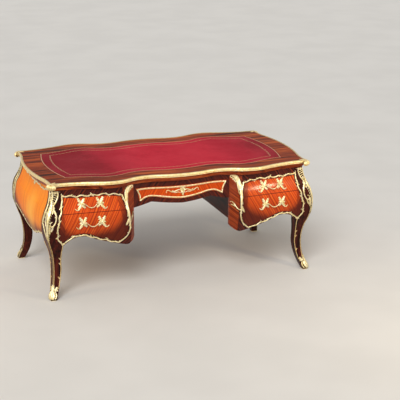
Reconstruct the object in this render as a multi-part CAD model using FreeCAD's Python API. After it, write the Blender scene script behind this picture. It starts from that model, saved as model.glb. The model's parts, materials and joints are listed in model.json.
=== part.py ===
import FreeCAD, Part
import math
import os

V = FreeCAD.Vector

# Serpentine writing table in millimetres: X to the right, front towards -Y, Z up, floor at Z = 0.
# The desk mirrors left to right and front to back, so one quarter describes its outline.

# Overall sizes
half_length = 940.0
half_width = 533.0
height = 780.0

# Top
top_edge_height = 23.0
top_edge_depth = 9.0
leather_margin = 130.0
leather_thickness = 2.5
leather_gap = 0.3
cove_overhang = 10.0
cove_set_in = 26.0
cove_ring_width = 74.0
clasp_reach = 74.0
clasp_thickness = 7.0
clasp_boss_radius = 15.0

# Boards and panels
wall_thickness = 18.0
board_thickness = 10.0
dust_board_thickness = 8.0
centre_set_in = 45.0
seat_gap = 0.2
post_clearance = 2.0
canted_levels = 4
arris_lap = 4.0
mock_groove = 1.6

# Drawers
drawer_gap = 1.4
box_side = 10.0
box_bottom = 6.0
box_depth = 600.0
centre_box_depth = 500.0
box_clearance = 0.6
runner_height = 10.0
runner_ledge = 14.0
guide_height = 26.0
runner_lift = 0.3
lock_width = 60.0
lock_height = 36.0
lock_depth = 12.0
keyhole_width = 4.0
keyhole_slot = 7.0

# Gilt metal work
frame_width = 12.0
frame_depth = 5.0
frame_overlap = 10.0
rail_below_frame = 9.0
knee_mount_depth = 6.0
sabot_height = 62.0
sabot_thickness = 4.0
sabot_lift = 3.0
scroll_radius = 9.0
chute_depth = 7.0
mount_depth = 5.0

# Handles
plate_depth = 3.5
plate_seat = 0.5
plate_half_width = 26.0
plate_half_height = 34.0
post_half_span = 45.0
post_radius = 5.0
post_reach = 17.0
bail_radius = 2.6
pin_clearance = 0.05
pin_depth = 5.0
pin_end_gap = 1.0
bail_bend = 8.0
bail_half_span = 33.0
bail_sag = 18.0
bead_radius = 4.6
upper_bail_lean = 24.0
lower_bail_lean = 0.0
rod_sides = 6
bow_steps = 2

# One length that lets cutting bodies pass beyond what they cut
overrun = 40.0

# Half outline of the top, in shares of half_length and half_width, with every second point on an
# inflection: front edge from the middle, end edge from the middle
front_edge_shares = [(0, 0.951), (0.170, 0.914), (0.279, 0.891), (0.390, 0.940), (0.511, 1.0),
                     (0.630, 0.960), (0.725, 0.913), (0.820, 0.882), (0.886, 0.8755)]
end_edge_shares = [(1.0, 0), (0.960, 0.600), (0.9525, 0.750)]
corner_shares = (0.952, 0.872)
# Half outline of the centre front before it is set in
centre_edge_shares = [(0, 0.951), (0.170, 0.914), (0.263, 0.8945), (0.3564, 0.925)]

# Profiles of the front and end skins where they meet in the arris of the corner post and cabriole
# leg: shares of height with shares of half_width and of half_length
front_skin_shares = [(0, 0.9006), (0.2200, 0.7974), (0.4359, 0.8552), (0.6000, 0.9190), (0.7410, 0.9010),
                     (0.8380, 0.8460), (0.9333, 0.8236)]
end_skin_shares = [(0, 0.9734), (0.2100, 0.9368), (0.4250, 0.9536), (0.6000, 0.9858), (0.7500, 0.9690),
                   (0.8420, 0.9380), (0.9333, 0.9245)]
# Inner outline of the leg's front face below the drawers: shares of half_length and height
leg_inner_shares = [(0.9330, 0), (0.8950, 0.1300), (0.8780, 0.2600), (0.8790, 0.3700), (0.8730, 0.4500)]
# Inner line of the leg's end face: shares of half_width and height
leg_end_shares = [(0.8256, 0), (0.7240, 0.1300), (0.6960, 0.2600), (0.7120, 0.3800), (0.7240, 0.4700),
                  (0.7090, 0.5600), (0.7230, 0.7400), (0.6900, 0.8400), (0.6641, 0.9333)]
# Inner arris of a pedestal front: shares of half_length and height
inner_arris_shares = [(0.4035, 0.4167), (0.4060, 0.6700), (0.4511, 0.9333)]
# Fall of the fronts and of the leg's end faces towards the corner
front_fall_angle = math.radians(4.2)
end_fall_angle = math.radians(5.0)
inner_wall_share = 0.3564
end_plane_share = 0.9043
panel_line_share = 0.7100
carcass_top_share = 0.9333
# Upright planes behind the fronts, in shares of half_width
front_back_share = 0.7974
lower_front_back_share = 0.8443
centre_back_share = 0.7598

# Line of the gilt frame round a pair of drawers: shares of half_length and height
frame_bottom_shares = [(0.4862, 0.4564), (0.5700, 0.4880), (0.6500, 0.5200), (0.7450, 0.5560),
                       (0.8230, 0.5350), (0.8520, 0.5070), (0.8777, 0.4769)]
frame_outer_shares = [(0.8777, 0.4769), (0.9110, 0.5400), (0.9130, 0.6200), (0.8968, 0.7103),
                      (0.8750, 0.8000), (0.8690, 0.8400), (0.8670, 0.8846)]
frame_top_shares = [(0.8670, 0.8846), (0.7700, 0.8765), (0.6600, 0.8755), (0.5500, 0.8755),
                    (0.4521, 0.8600)]
frame_inner_shares = [(0.4521, 0.8600), (0.4330, 0.7950), (0.4210, 0.7100), (0.4120, 0.6300),
                      (0.4130, 0.5650), (0.4400, 0.5020), (0.4862, 0.4564)]
seam_share = 0.741
# Lower silhouette of a pedestal's inner corner: shares of half_length and height
inner_foot_shares = [(0.3400, 0.5385), (0.3600, 0.4750), (0.4255, 0.4295)]
# Lower edges: shares of half_width and height for walls, of half_length and height for the apron
wall_edge_shares = [(0, 0.5410), (0.4000, 0.5370), (0.7974, 0.5321)]
end_edge_low_shares = [(0, 0.4449), (0.1900, 0.4564), (0.3800, 0.4987), (0.5300, 0.5295), (0.7100, 0.5474)]
apron_shares = [(0, 0.7295), (0.1100, 0.7397), (0.2234, 0.7551), (0.3085, 0.7295), (0.3564, 0.7231)]
# Front of the centre drawer: shares of half_length and height
centre_bottom_shares = [(0, 0.7654), (0.1200, 0.7790), (0.1800, 0.7900), (0.2500, 0.7920), (0.3138, 0.7615)]
centre_side_shares = [(0.3138, 0.7615), (0.3200, 0.8200), (0.3404, 0.8846)]
# Drawer boxes: shares of half_length and height
box_inner_share = 0.4617
box_outer_share = 0.8511
upper_box_shares = (0.7564, 0.8372)
lower_box_shares = (0.5769, 0.7244)
centre_box_share = 0.3085
centre_box_shares = (0.8051, 0.8782)
# Handles: share of half_length of their middle plane, and shares of height
handle_share = 0.6723
upper_handle_share = 0.8090
lower_handle_share = 0.6590
# Half outline of a leafy backplate: shares of its half width and half height
plate_shares = [(0, 1.0), (1.0, 0.25), (0.55, -0.70), (0, -1.0)]
# Gilt scroll on the inner corner: outline in shares of half_length and height
scroll_shares = [(0.3640, 0.9270), (0.3860, 0.9290), (0.4200, 0.8700), (0.4240, 0.8000), (0.4095, 0.7000),
                 (0.4020, 0.6400), (0.3940, 0.6400), (0.4010, 0.7800), (0.3950, 0.8450), (0.3700, 0.9020)]
# Gilt knee mount: outlines on the front face and on the end face, in shares of the face width
# measured from the arris, and of height
knee_front_shares = [(0, 0.9200), (0.52, 0.8800), (0.22, 0.7500), (0.56, 0.6500), (0, 0.5100)]
knee_end_shares = [(0, 0.9200), (0.26, 0.8900), (0.14, 0.7700), (0.26, 0.6500), (0, 0.5100)]
# Centre mount: half outline, a leaf with a long scroll arm, in shares of half_length and height
centre_mount_shares = [(0, 0.8640), (0.0230, 0.8520), (0.0880, 0.8520), (0.1200, 0.8330),
                       (0.0500, 0.8410), (0.0260, 0.8180), (0, 0.7920)]


def place(share, size):
    return share * size


front_back_plane = place(front_back_share, half_width)
lower_front_back_plane = place(lower_front_back_share, half_width)
centre_back_plane = place(centre_back_share, half_width)
handle_place = place(handle_share, half_length)


def smooth(rows, key, column):
    # Value of a column at a height share, on a cubic through the rows
    last = len(rows) - 1
    i = 0
    while i < last - 1 and rows[i + 1][0] < key:
        i += 1
    k0, k1 = rows[i][0], rows[i + 1][0]
    p0, p1 = rows[i][column], rows[i + 1][column]
    before = rows[max(i - 1, 0)]
    after = rows[min(i + 2, last)]
    m0 = (p1 - before[column]) / (k1 - before[0]) if i > 0 else (p1 - p0) / (k1 - k0)
    m1 = (after[column] - p0) / (after[0] - k0) if i + 2 <= last else (p1 - p0) / (k1 - k0)
    span = k1 - k0
    t = (key - k0) / span
    a = 2 * t ** 3 - 3 * t ** 2 + 1
    b = t ** 3 - 2 * t ** 2 + t
    c = 3 * t ** 2 - 2 * t ** 3
    d = t ** 3 - t ** 2
    return a * p0 + b * span * m0 + c * p1 + d * span * m1


def corner_at(share):
    # Arris of the corner post and the inner line of its end face
    x = place(smooth(end_skin_shares, share, 1), half_length)
    y = place(smooth(front_skin_shares, share, 1), half_width)
    return x, y, across_at(leg_end_shares, share, half_width)


def across_at(rows, share, size):
    return place(smooth([(b, a) for a, b in rows], share, 1), size)


def inner_arris_at(share):
    return across_at(inner_arris_shares, share, half_length)


# Both skins are curved in height only and fall back towards the corner

def front_reach(share):
    # Distance of the front skin from the desk's upright axis, square to the skin
    corner_x, corner_y, _ = corner_at(share)
    return corner_x * math.sin(front_fall_angle) + corner_y * math.cos(front_fall_angle)


def on_arcs(rows, key):
    # Value at a key on the chain of arcs, each through three rows
    i = 0
    while i + 4 < len(rows) and rows[i + 2][0] < key:
        i += 2
    (k0, v0), (k1, v1), (k2, v2) = rows[i:i + 3]
    span = 2 * (k0 * (v1 - v2) + k1 * (v2 - v0) + k2 * (v0 - v1))
    a, b, c = k0 ** 2 + v0 ** 2, k1 ** 2 + v1 ** 2, k2 ** 2 + v2 ** 2
    key_middle = (a * (v1 - v2) + b * (v2 - v0) + c * (v0 - v1)) / span
    middle = (a * (k2 - k1) + b * (k0 - k2) + c * (k1 - k0)) / span
    rise = math.sqrt((k0 - key_middle) ** 2 + (v0 - middle) ** 2 - (key - key_middle) ** 2)
    return middle + math.copysign(rise, v1 - middle)


def front_y(x, share):
    # Distance of the pedestal's front skin from the middle plane
    rows = [(place(row, height), front_reach(row)) for row, _ in front_skin_shares]
    reach = on_arcs(rows, place(share, height))
    return (reach - x * math.sin(front_fall_angle)) / math.cos(front_fall_angle)


def end_reach(share):
    # Distance of the leg's end skin from the desk's upright axis, square to the skin
    corner_x, corner_y, _ = corner_at(share)
    return corner_x * math.cos(end_fall_angle) + corner_y * math.sin(end_fall_angle)


def end_x(y, share):
    return (end_reach(share) - y * math.sin(end_fall_angle)) / math.cos(end_fall_angle)


def unit(v):
    return v * (1 / v.Length)


def line(a, b):
    return Part.LineSegment(a, b).toShape()


def arcs(points):
    # Chain of arcs, each through three points, with a straight end when one point is left over
    edges = []
    for i in range(0, len(points) - 2, 2):
        a, b, c = points[i:i + 3]
        if (b - a).cross(c - b).Length < 1e-3 * (b - a).Length * (c - b).Length:
            edges.append(line(a, c))
        else:
            edges.append(Part.Arc(a, b, c).toShape())
    if len(points) % 2 == 0:
        edges.append(line(points[-2], points[-1]))
    return edges


def wire_of(parts):
    edges = []
    for part in parts:
        edges.extend(part if isinstance(part, list) else [part])
    return Part.Wire(Part.__sortEdges__(edges))


def polygon(points):
    return Part.makePolygon(points + [points[0]])


def box(x0, x1, y0, y1, z0, z1):
    return Part.makeBox(x1 - x0, y1 - y0, z1 - z0, V(x0, y0, z0))


def mirror_x(shape):
    return shape.mirror(V(0, 0, 0), V(1, 0, 0))


def mirror_y(shape):
    return shape.mirror(V(0, 0, 0), V(0, 1, 0))


def in_front(points, y):
    return [V(x, -y, z) for x, z in points]


def sized(shares):
    return [(place(a, half_length), place(b, height)) for a, b in shares]


def shift_loop(loop, amount):
    # Closed loop of points moved outward by an amount, counter-clockwise seen with Z up and X right
    count = len(loop)
    moved = []
    for i in range(count):
        x, z = loop[i]
        px, pz = loop[i - 1]
        nx, nz = loop[(i + 1) % count]
        ax, az = x - px, z - pz
        bx, bz = nx - x, nz - z
        la, lb = math.hypot(ax, az), math.hypot(bx, bz)
        n1 = (az / la, -ax / la)
        n2 = (bz / lb, -bx / lb)
        scale = amount / (1 + n1[0] * n2[0] + n1[1] * n2[1])
        moved.append((x + scale * (n1[0] + n2[0]), z + scale * (n1[1] + n2[1])))
    return moved


def frame_loop():
    sides = [sized(s) for s in (frame_bottom_shares, frame_outer_shares, frame_top_shares, frame_inner_shares)]
    loop = []
    starts = []
    for side in sides:
        starts.append(len(loop))
        loop.extend(side[:-1])
    return loop, starts


def loop_wire(loop, starts, y):
    edges = []
    for i, start in enumerate(starts):
        stop = starts[(i + 1) % len(starts)]
        part = loop[start:stop] if stop > start else loop[start:]
        part = part + [loop[stop]]
        edges.append(arcs(in_front(part, y)))
    return wire_of(edges)


def frame_prism(amount):
    # Body through the pedestal front, bounded by the frame line moved outward by an amount
    loop, starts = frame_loop()
    wire = loop_wire(shift_loop(loop, amount), starts, half_width + overrun)
    return Part.Face(wire).extrude(V(0, half_width, 0))


# Top

def inward(along, across, limit, inset):
    # A point of one side moved inward, and drawn along the side the nearer it is to the corner
    return along - inset * (along / limit) ** 4, across - inset


def plan_wire(inset, z):
    # Outline of the top moved inward by an amount
    corner_x, corner_y = place(corner_shares[0], half_length), place(corner_shares[1], half_width)
    corner = (corner_x - inset, corner_y - inset)
    front = [inward(place(a, half_length), place(b, half_width), corner_x, inset) for a, b in front_edge_shares]
    end = [inward(place(b, half_width), place(a, half_length), corner_y, inset) for a, b in end_edge_shares]
    row = mirrored(front + [corner])
    side = mirrored(end + [(corner[1], corner[0])])
    return wire_of([arcs([V(x, -y, z) for x, y in row]),
                    arcs([V(x, y, z) for y, x in side]),
                    arcs([V(-x, y, z) for x, y in row]),
                    arcs([V(-x, -y, z) for y, x in side])])


def mirrored(points):
    return [(-a, b) for a, b in reversed(points[1:])] + points


def plan_prism(inset, z0, z1):
    return Part.Face(plan_wire(inset, z0)).extrude(V(0, 0, z1 - z0))


def plan_loft(levels):
    return Part.makeLoft([plan_wire(inset, z) for inset, z in levels], True, True)


board_top = height
top_under = height - top_edge_height
cove_under = place(carcass_top_share, height)


def make_top_board():
    body = plan_prism(top_edge_depth, top_under, board_top)
    return body.cut(plan_prism(leather_margin, board_top - leather_thickness, board_top + overrun))


def make_leather():
    return plan_prism(leather_margin + leather_gap, board_top - leather_thickness, board_top)


def make_edge_moulding():
    outer = plan_prism(0, top_under, board_top)
    return outer.cut(plan_prism(top_edge_depth, top_under - overrun, board_top + overrun))


def make_cove():
    outer = plan_loft([(cove_set_in, cove_under), (cove_overhang, top_under)])
    inside = cove_set_in + cove_ring_width
    return outer.cut(box(-half_length + inside, half_length - inside, -half_width + inside * 2,
                         half_width - inside * 2, cove_under - overrun, top_under + overrun))


def make_corner_clasps():
    corner_x = place(corner_shares[0], half_length)
    corner_y = place(corner_shares[1], half_width)
    ring = plan_prism(-clasp_thickness, top_under, board_top)
    ring = ring.cut(plan_prism(0, top_under - overrun, board_top + overrun))
    zone = box(corner_x - clasp_reach, corner_x + overrun, -corner_y - overrun, -corner_y + clasp_reach,
               top_under - overrun, board_top + overrun)
    body = ring.common(zone)
    boss = rod([V(corner_x, -corner_y, top_under), V(corner_x, -corner_y, board_top)], clasp_boss_radius, V(1, 0, 0))
    boss = boss.cut(plan_prism(0, top_under - overrun, board_top + overrun))
    one = body.fuse(boss).removeSplitter()
    return four(one)


def four(shape):
    right = [shape, mirror_y(shape)]
    return Part.makeCompound(right + [mirror_x(s) for s in right])


# Pedestals: the right one is modelled and the left one mirrors it

def front_body(out, depth_plane):
    # Solid behind the whole bombé front, from the floor to the carcass top
    rows = [V(0, -front_reach(share) - out, place(share, height)) for share, _ in front_skin_shares]
    a, b = V(0, 0, rows[-1].z), V(0, 0, rows[0].z)
    face = Part.Face(wire_of([arcs(rows), line(rows[-1], a), line(a, b), line(b, rows[0])]))
    body = face.extrude(V(half_length + half_width, 0, 0))
    body.rotate(V(0, 0, 0), V(0, 0, 1), math.degrees(front_fall_angle))
    return body.common(box(0, half_length * 2, -half_width - overrun, -depth_plane, 0, height))


def end_profile(reach):
    # Upright face behind the end's profile; reach gives the distance at a height share
    rows = [V(reach(share), 0, place(share, height)) for share, _ in end_skin_shares]
    a, b = V(0, 0, rows[-1].z), V(0, 0, rows[0].z)
    return Part.Face(wire_of([arcs(rows), line(rows[-1], a), line(a, b), line(b, rows[0])]))


def end_body(out):
    # Solid behind the end skin of the two legs on the front side
    body = end_profile(lambda share: end_reach(share) + out).extrude(V(0, -half_length - half_width, 0))
    body.rotate(V(0, 0, 0), V(0, 0, 1), -math.degrees(end_fall_angle))
    return body


def quarter(out, depth_plane):
    # Bombé quarter of the carcass, front right
    return front_body(out, depth_plane).common(end_body(out))


def canted_block(out_x, out_y):
    # Inner corner between the centre front and a pedestal front, with flat triangular facets
    rings = []
    wall_x = place(inner_wall_share, half_length)
    first, last = inner_arris_shares[0][1], inner_arris_shares[-1][1]
    back = -front_back_plane - seat_gap
    for i in range(canted_levels + 1):
        share = first + (last - first) * i / canted_levels
        x1 = inner_arris_at(share) + arris_lap
        z = place(share, height)
        y0 = centre_y_at_wall() + out_y
        y1 = front_y(x1, share) + out_y
        rings.append([V(wall_x - out_x, -y0, z), V(x1, -y1, z), V(x1, back, z), V(wall_x - out_x, back, z)])
    trim = inner_side_prism()
    trim.translate(V(-seat_gap, 0, 0))
    return faceted(rings).cut(trim)


def faceted(rings):
    # Closed solid of flat facets between rings of points
    faces = cap(rings[0]) + cap(rings[-1])
    for low, high in zip(rings, rings[1:]):
        count = len(low)
        for k in range(count):
            a, b, c, d = low[k - 1], low[k], high[k], high[k - 1]
            if abs((b - a).cross(d - a).dot(c - a)) < 1e-6:
                faces.append(Part.Face(polygon([a, b, c, d])))
            else:
                faces.append(Part.Face(polygon([a, b, c])))
                faces.append(Part.Face(polygon([a, c, d])))
    shell = Part.makeShell(faces)
    solid = Part.makeSolid(shell)
    if solid.Volume < 0:
        solid.reverse()
    return solid


def cap(ring):
    # End of a faceted solid: one face where the ring is flat, and facets across it where it isn't
    normal = (ring[1] - ring[0]).cross(ring[2] - ring[0])
    if all(abs(normal.dot(p - ring[0])) < 1e-6 * normal.Length for p in ring):
        return [Part.Face(polygon(ring))]
    faces = []
    low, high = 0, len(ring) - 1
    while high - low > 1:
        faces.append(Part.Face(polygon([ring[low], ring[low + 1], ring[high]])))
        low += 1
        if high - low > 1:
            faces.append(Part.Face(polygon([ring[low], ring[high - 1], ring[high]])))
            high -= 1
    return faces


def inner_side_prism():
    # Everything of a pedestal front on the outer side of its inner arris
    y = half_width + overrun
    rows = sized(inner_arris_shares)
    top, far = place(carcass_top_share, height) + overrun, half_length + overrun
    corners = in_front([rows[-1], (rows[-1][0], top), (far, top), (far, 0), (rows[0][0], 0), rows[0]], y)
    edges = [arcs(in_front(rows, y))] + [line(a, b) for a, b in zip(corners, corners[1:])]
    return Part.Face(wire_of(edges)).extrude(V(0, y, 0))


def leg_front_prism(out):
    # Everything on the outer side of the leg's inner outline, seen from the front
    loop, starts = frame_loop()
    upper = shift_loop(loop, -frame_overlap)[starts[1]:starts[2] + 1]
    run = [(x - out, z) for x, z in sized(leg_inner_shares) + upper]
    y = half_width + overrun
    top, far = place(carcass_top_share, height) + overrun, half_length + overrun
    count = len(leg_inner_shares)
    corners = in_front([run[-1], (run[-1][0], top), (far, top), (far, 0), run[0]], y)
    edges = [arcs(in_front(run[:count], y)), line(*in_front(run[count - 1:count + 1], y)),
             arcs(in_front(run[count:], y))]
    edges += [line(a, b) for a, b in zip(corners, corners[1:])]
    return Part.Face(wire_of(edges)).extrude(V(0, half_width, 0))


def leg_end_prism(out):
    # Everything in front of the inner line of the leg's end face
    rows = [V(0, -place(a, half_width) + out, place(b, height)) for a, b in leg_end_shares]
    far = -half_width - overrun
    a, b = V(0, far, rows[-1].z), V(0, far, 0)
    face = Part.Face(wire_of([arcs(rows), line(rows[-1], a), line(a, b), line(b, rows[0])]))
    return face.extrude(V(half_length + overrun, 0, 0))


def pedestal_prism():
    # Silhouette of a pedestal front from the carcass top down to the rail under the frame
    loop, starts = frame_loop()
    low = shift_loop(loop, rail_below_frame)
    bottom = low[starts[0]:starts[1] + 1]
    foot = sized(inner_foot_shares)
    run = foot + bottom
    top = place(carcass_top_share, height)
    y = half_width + overrun
    first, last = run[0], run[-1]
    outer = half_length + overrun
    edges = [arcs(in_front(foot, y)), line(*in_front([foot[-1], bottom[0]], y)), arcs(in_front(bottom, y))]
    corners = in_front([last, (outer, last[1]), (outer, top), (first[0] - overrun, top),
                        (first[0] - overrun, first[1]), first], y)
    for a, b in zip(corners, corners[1:]):
        edges.append(line(a, b))
    return Part.Face(wire_of(edges)).extrude(V(0, half_width, 0))


def opening_prism(amount):
    # Drawer opening: the frame line moved inward
    return frame_prism(-amount)


def front_slab():
    # The bombé front between its inner arris and the corner post
    return quarter(0, front_back_plane).common(inner_side_prism()).cut(leg_front_prism(0))


def make_face_frame():
    return front_slab().common(pedestal_prism()).cut(opening_prism(frame_overlap))


def make_inner_corner():
    return canted_block(0, 0).common(pedestal_prism())


def make_back_panel():
    body = front_slab().common(pedestal_prism())
    seam = place(seam_share, height)
    groove = box(0, half_length, -half_width - overrun, -front_y(half_length, seam_share) + mock_groove,
                 seam - mock_groove / 2, seam + mock_groove / 2)
    return mirror_y(body.cut(groove.common(frame_prism(-frame_overlap))))


def drawer_prism():
    return frame_prism(-frame_overlap - drawer_gap)


def make_upper_front():
    seam = place(seam_share, height) + drawer_gap / 2
    zone = box(0, half_length, -half_width - overrun, -front_back_plane, seam, height)
    return quarter(0, front_back_plane).common(drawer_prism()).common(zone)


def make_lower_front():
    seam = place(seam_share, height) - drawer_gap / 2
    zone = box(0, half_length, -half_width - overrun, -lower_front_back_plane, 0, seam)
    return quarter(0, front_back_plane).common(drawer_prism()).common(zone)


def make_box(x0, x1, y0, y1, z0, z1):
    body = box(x0, x1, y0, y1, z0, z1)
    return body.cut(box(x0 + box_side, x1 - box_side, y0 + box_side, y1 - box_side, z0 + box_bottom, z1 + overrun))


def make_upper_box():
    z0, z1 = [place(s, height) for s in upper_box_shares]
    return make_box(place(box_inner_share, half_length), place(box_outer_share, half_length),
                    -front_back_plane, -front_back_plane + box_depth, z0, z1)


def make_lower_box():
    z0, z1 = [place(s, height) for s in lower_box_shares]
    return make_box(place(box_inner_share, half_length), place(box_outer_share, half_length),
                    -lower_front_back_plane, -front_back_plane + box_depth, z0, z1)


def make_inner_wall():
    x = place(inner_wall_share, half_length)
    y = front_back_plane
    points = [(place(a, half_width), place(b, height)) for a, b in wall_edge_shares]
    run = mirrored(points)
    y = run[-1][0]
    top = place(carcass_top_share, height)
    low = arcs([V(x, a, b) for a, b in run])
    edges = [low, line(V(x, y, run[-1][1]), V(x, y, top)), line(V(x, y, top), V(x, -y, top)),
             line(V(x, -y, top), V(x, -y, run[0][1]))]
    return Part.Face(wire_of(edges)).extrude(V(wall_thickness, 0, 0))


def end_inner_plane():
    return place(end_plane_share, half_length)


def end_apron_prism(lift):
    points = [(place(a, half_width), place(b, height) + lift) for a, b in end_edge_low_shares]
    run = [(-a, b) for a, b in reversed(points[1:])] + points
    top = height + overrun
    wide = half_width
    x = end_inner_plane()
    edge = arcs([V(x, a, b) for a, b in run])
    corners = [V(x, run[-1][0], run[-1][1]), V(x, wide, run[-1][1]), V(x, wide, top), V(x, -wide, top),
               V(x, -wide, run[0][1]), V(x, run[0][0], run[0][1])]
    edges = [edge] + [line(a, b) for a, b in zip(corners, corners[1:])]
    return Part.Face(wire_of(edges)).extrude(V(half_length / 2, 0, 0))


def make_end_panel():
    # Bombé outside, flat inside, straight between the two corner posts
    body = end_profile(panel_x).extrude(V(0, half_width, 0))
    body = body.fuse(mirror_y(body)).removeSplitter().common(end_apron_prism(0))
    ends = leg_end_prism(0)
    return body.cut(ends).cut(mirror_y(ends))


def panel_x(share):
    return end_x(place(panel_line_share, half_width), share)


def post_inner_x(levels):
    # Inner line of the corner post where a board or runner meets it
    loop, starts = frame_loop()
    near = shift_loop(loop, -frame_overlap)[starts[1]:starts[2] + 1]
    low = sized(leg_inner_shares)[-1]
    rows = [(z / height, x) for x, z in [low] + near] + [(1.0, near[-1][0])]
    return min(smooth(rows, s, 1) for s in levels) - post_clearance


def board(share_low, thickness):
    # Horizontal board between the inner wall, the end panel, the front and the back, cut round the posts
    z = place(share_low, height)
    x0 = place(inner_wall_share, half_length) + wall_thickness
    levels = [share_low, share_low + thickness / height]
    x1 = post_inner_x(levels) - seat_gap
    y1 = min(corner_at(s)[2] for s in levels) - post_clearance
    y0 = front_back_plane - seat_gap
    plain = box(x0, x1, -y0, y0, z, z + thickness)
    wide = box(x0, end_inner_plane() - seat_gap, -y1, y1, z, z + thickness)
    return plain.fuse(wide).removeSplitter()


bottom_board_share = lower_box_shares[0] - (runner_height + board_thickness) / height
dust_board_share = upper_box_shares[0] - (runner_height + dust_board_thickness) / height


def make_bottom_board():
    return board(bottom_board_share, board_thickness)


def make_divider():
    return board(dust_board_share, dust_board_thickness)


def make_runners():
    # Runner and guide on each side of each drawer box
    bodies = []
    wall = place(inner_wall_share, half_length) + wall_thickness
    x0 = place(box_inner_share, half_length)
    x1 = place(box_outer_share, half_length)
    for box_shares in (lower_box_shares, upper_box_shares):
        z = place(box_shares[0], height)
        share = box_shares[0]
        y0 = front_back_plane - seat_gap
        inner_x = post_inner_x([share - runner_height / height, share, share + guide_height / height])
        low = z - runner_height
        ledge = box(wall, x0 + runner_ledge, -y0, y0, low, z - runner_lift)
        guide = box(wall, x0 - box_clearance, -y0, y0, low, z + guide_height)
        bodies.append(ledge.fuse(guide).removeSplitter())
        outer = inner_x - 2 * seat_gap
        ledge = box(x1 - runner_ledge, outer, -y0, y0, low, z - runner_lift)
        guide = box(x1 + box_clearance, outer, -y0, y0, low, z + guide_height)
        bodies.append(ledge.fuse(guide).removeSplitter())
    return Part.makeCompound(bodies)


def make_frame_mount():
    ring = frame_prism(frame_width / 2).cut(frame_prism(-frame_overlap))
    return ring.common(quarter(frame_depth, front_back_plane)).cut(quarter(0, front_back_plane - overrun))


def share_prism(shares, y, depth):
    points = sized(shares)
    return Part.Face(polygon(in_front(points, y))).extrude(V(0, depth, 0))


def make_scroll():
    # Acanthus scroll over the inner arris
    y = half_width + overrun
    front = quarter(chute_depth, front_back_plane).common(inner_side_prism())
    front = front.cut(quarter(seat_gap / 2, front_back_plane - overrun))
    canted = canted_block(0, chute_depth).cut(canted_block(0, seat_gap / 2))
    bodies = []
    for skin in (front, canted):
        bodies.extend(share_prism(scroll_shares, y, half_width / 4).common(skin).Solids)
    return Part.makeCompound(bodies)


# Legs

def leg_body(out, low, top):
    # Leg or post of square plan with all four sides shaped, as if sawn from the front and the end
    body = quarter(max(out, 0), half_width / 2).common(leg_front_prism(out)).common(leg_end_prism(out))
    far = half_length + overrun
    return body.common(box(0, far, -half_width - overrun, 0, low, top))


def make_leg():
    return leg_body(0, sabot_lift, place(carcass_top_share, height))


def make_sabot():
    # Gilt shoe round the foot, with a rolled toe under the arris
    body = leg_body(sabot_thickness, 0, sabot_height)
    corner_x, corner_y, _ = corner_at(0)
    reach = sabot_height / 4
    toe = rod([V(corner_x - reach, -corner_y - reach / 3, scroll_radius),
               V(corner_x + reach / 3, -corner_y + reach, scroll_radius)], scroll_radius, V(0, 0, 1))
    return body.fuse(toe).common(box(0, half_length, -half_width, 0, 0, sabot_height)).cut(make_leg())


def knee_prism(shares, face):
    points = []
    for across, up in shares:
        corner_x, corner_y, inner_y = corner_at(up)
        z = place(up, height)
        width = corner_y - inner_y
        if face == "front":
            x = corner_x + knee_mount_depth - width * across if across else corner_x + overrun
            points.append(V(x, -half_width - overrun, z))
        else:
            y = corner_y + knee_mount_depth - width * across if across else corner_y + overrun
            points.append(V(half_length + 2 * overrun, -y, z))
    way = V(0, half_width / 3, 0) if face == "front" else V(-half_length / 5, 0, 0)
    return Part.Face(polygon(points)).extrude(way)


def make_knee_mount():
    # Leaf on the front skin and one on the end skin, joined over the arris
    back = half_width / 2
    front = front_body(knee_mount_depth, back).cut(front_body(0, back - overrun)).common(end_body(knee_mount_depth))
    end = end_body(knee_mount_depth).cut(end_body(0)).common(front_body(knee_mount_depth, back))
    front = front.common(knee_prism(knee_front_shares, "front"))
    return front.fuse(end.common(knee_prism(knee_end_shares, "end"))).removeSplitter()


# Centre section

def centre_y_at_wall():
    return place(centre_edge_shares[-1][1], half_width) - centre_set_in


def centre_slab(out):
    reach = place(inner_wall_share, half_length) - seat_gap
    top = place(carcass_top_share, height)
    low = place(apron_shares[4][1], height) - overrun
    rows = [(place(a, half_length), place(b, half_width) - centre_set_in) for a, b in centre_edge_shares]
    rows[-1] = (reach, rows[-1][1])
    points = [V(x, -y - out, low) for x, y in mirrored(rows)]
    a, b = V(reach, -centre_back_plane, low), V(-reach, -centre_back_plane, low)
    edges = [arcs(points), line(points[-1], a), line(a, b), line(b, points[0])]
    return Part.Face(wire_of(edges)).extrude(V(0, 0, top - low))


def apron_prism():
    run = mirrored(sized(apron_shares))
    y = half_width + overrun
    top = height
    a, b = run[0], run[-1]
    edges = [arcs(in_front(run, y))]
    corners = in_front([b, (b[0], top), (a[0], top), a], y)
    edges += [line(p, q) for p, q in zip(corners, corners[1:])]
    return Part.Face(wire_of(edges)).extrude(V(0, half_width, 0))


def centre_prism(amount):
    bottom = mirrored(sized(centre_bottom_shares))
    side = sized(centre_side_shares)
    left = [(-a, b) for a, b in reversed(side)]
    loop = bottom[:-1] + side[:-1] + [side[-1]] + [left[0]] + left[1:-1]
    loop = shift_loop(loop, amount)
    y = half_width + overrun
    n0 = len(bottom)
    n1 = n0 + len(side) - 1
    bottom_edge = arcs(in_front(loop[:n0], y))
    right_edge = arcs(in_front(loop[n0 - 1:n1], y))
    top_edge = line(*in_front([loop[n1 - 1], loop[n1]], y))
    left_edge = arcs(in_front(loop[n1:] + [loop[0]], y))
    return Part.Face(wire_of([bottom_edge, right_edge, top_edge, left_edge])).extrude(V(0, half_width, 0))


def make_centre_frame():
    return centre_slab(0).common(apron_prism()).cut(centre_prism(0))


def make_centre_back():
    return mirror_y(centre_slab(0).common(apron_prism()))


def keyhole():
    z = place((centre_box_shares[0] + centre_box_shares[1]) / 2, height)
    return box(-keyhole_width / 2, keyhole_width / 2, -half_width - overrun, -overrun, z - keyhole_slot, z)


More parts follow.
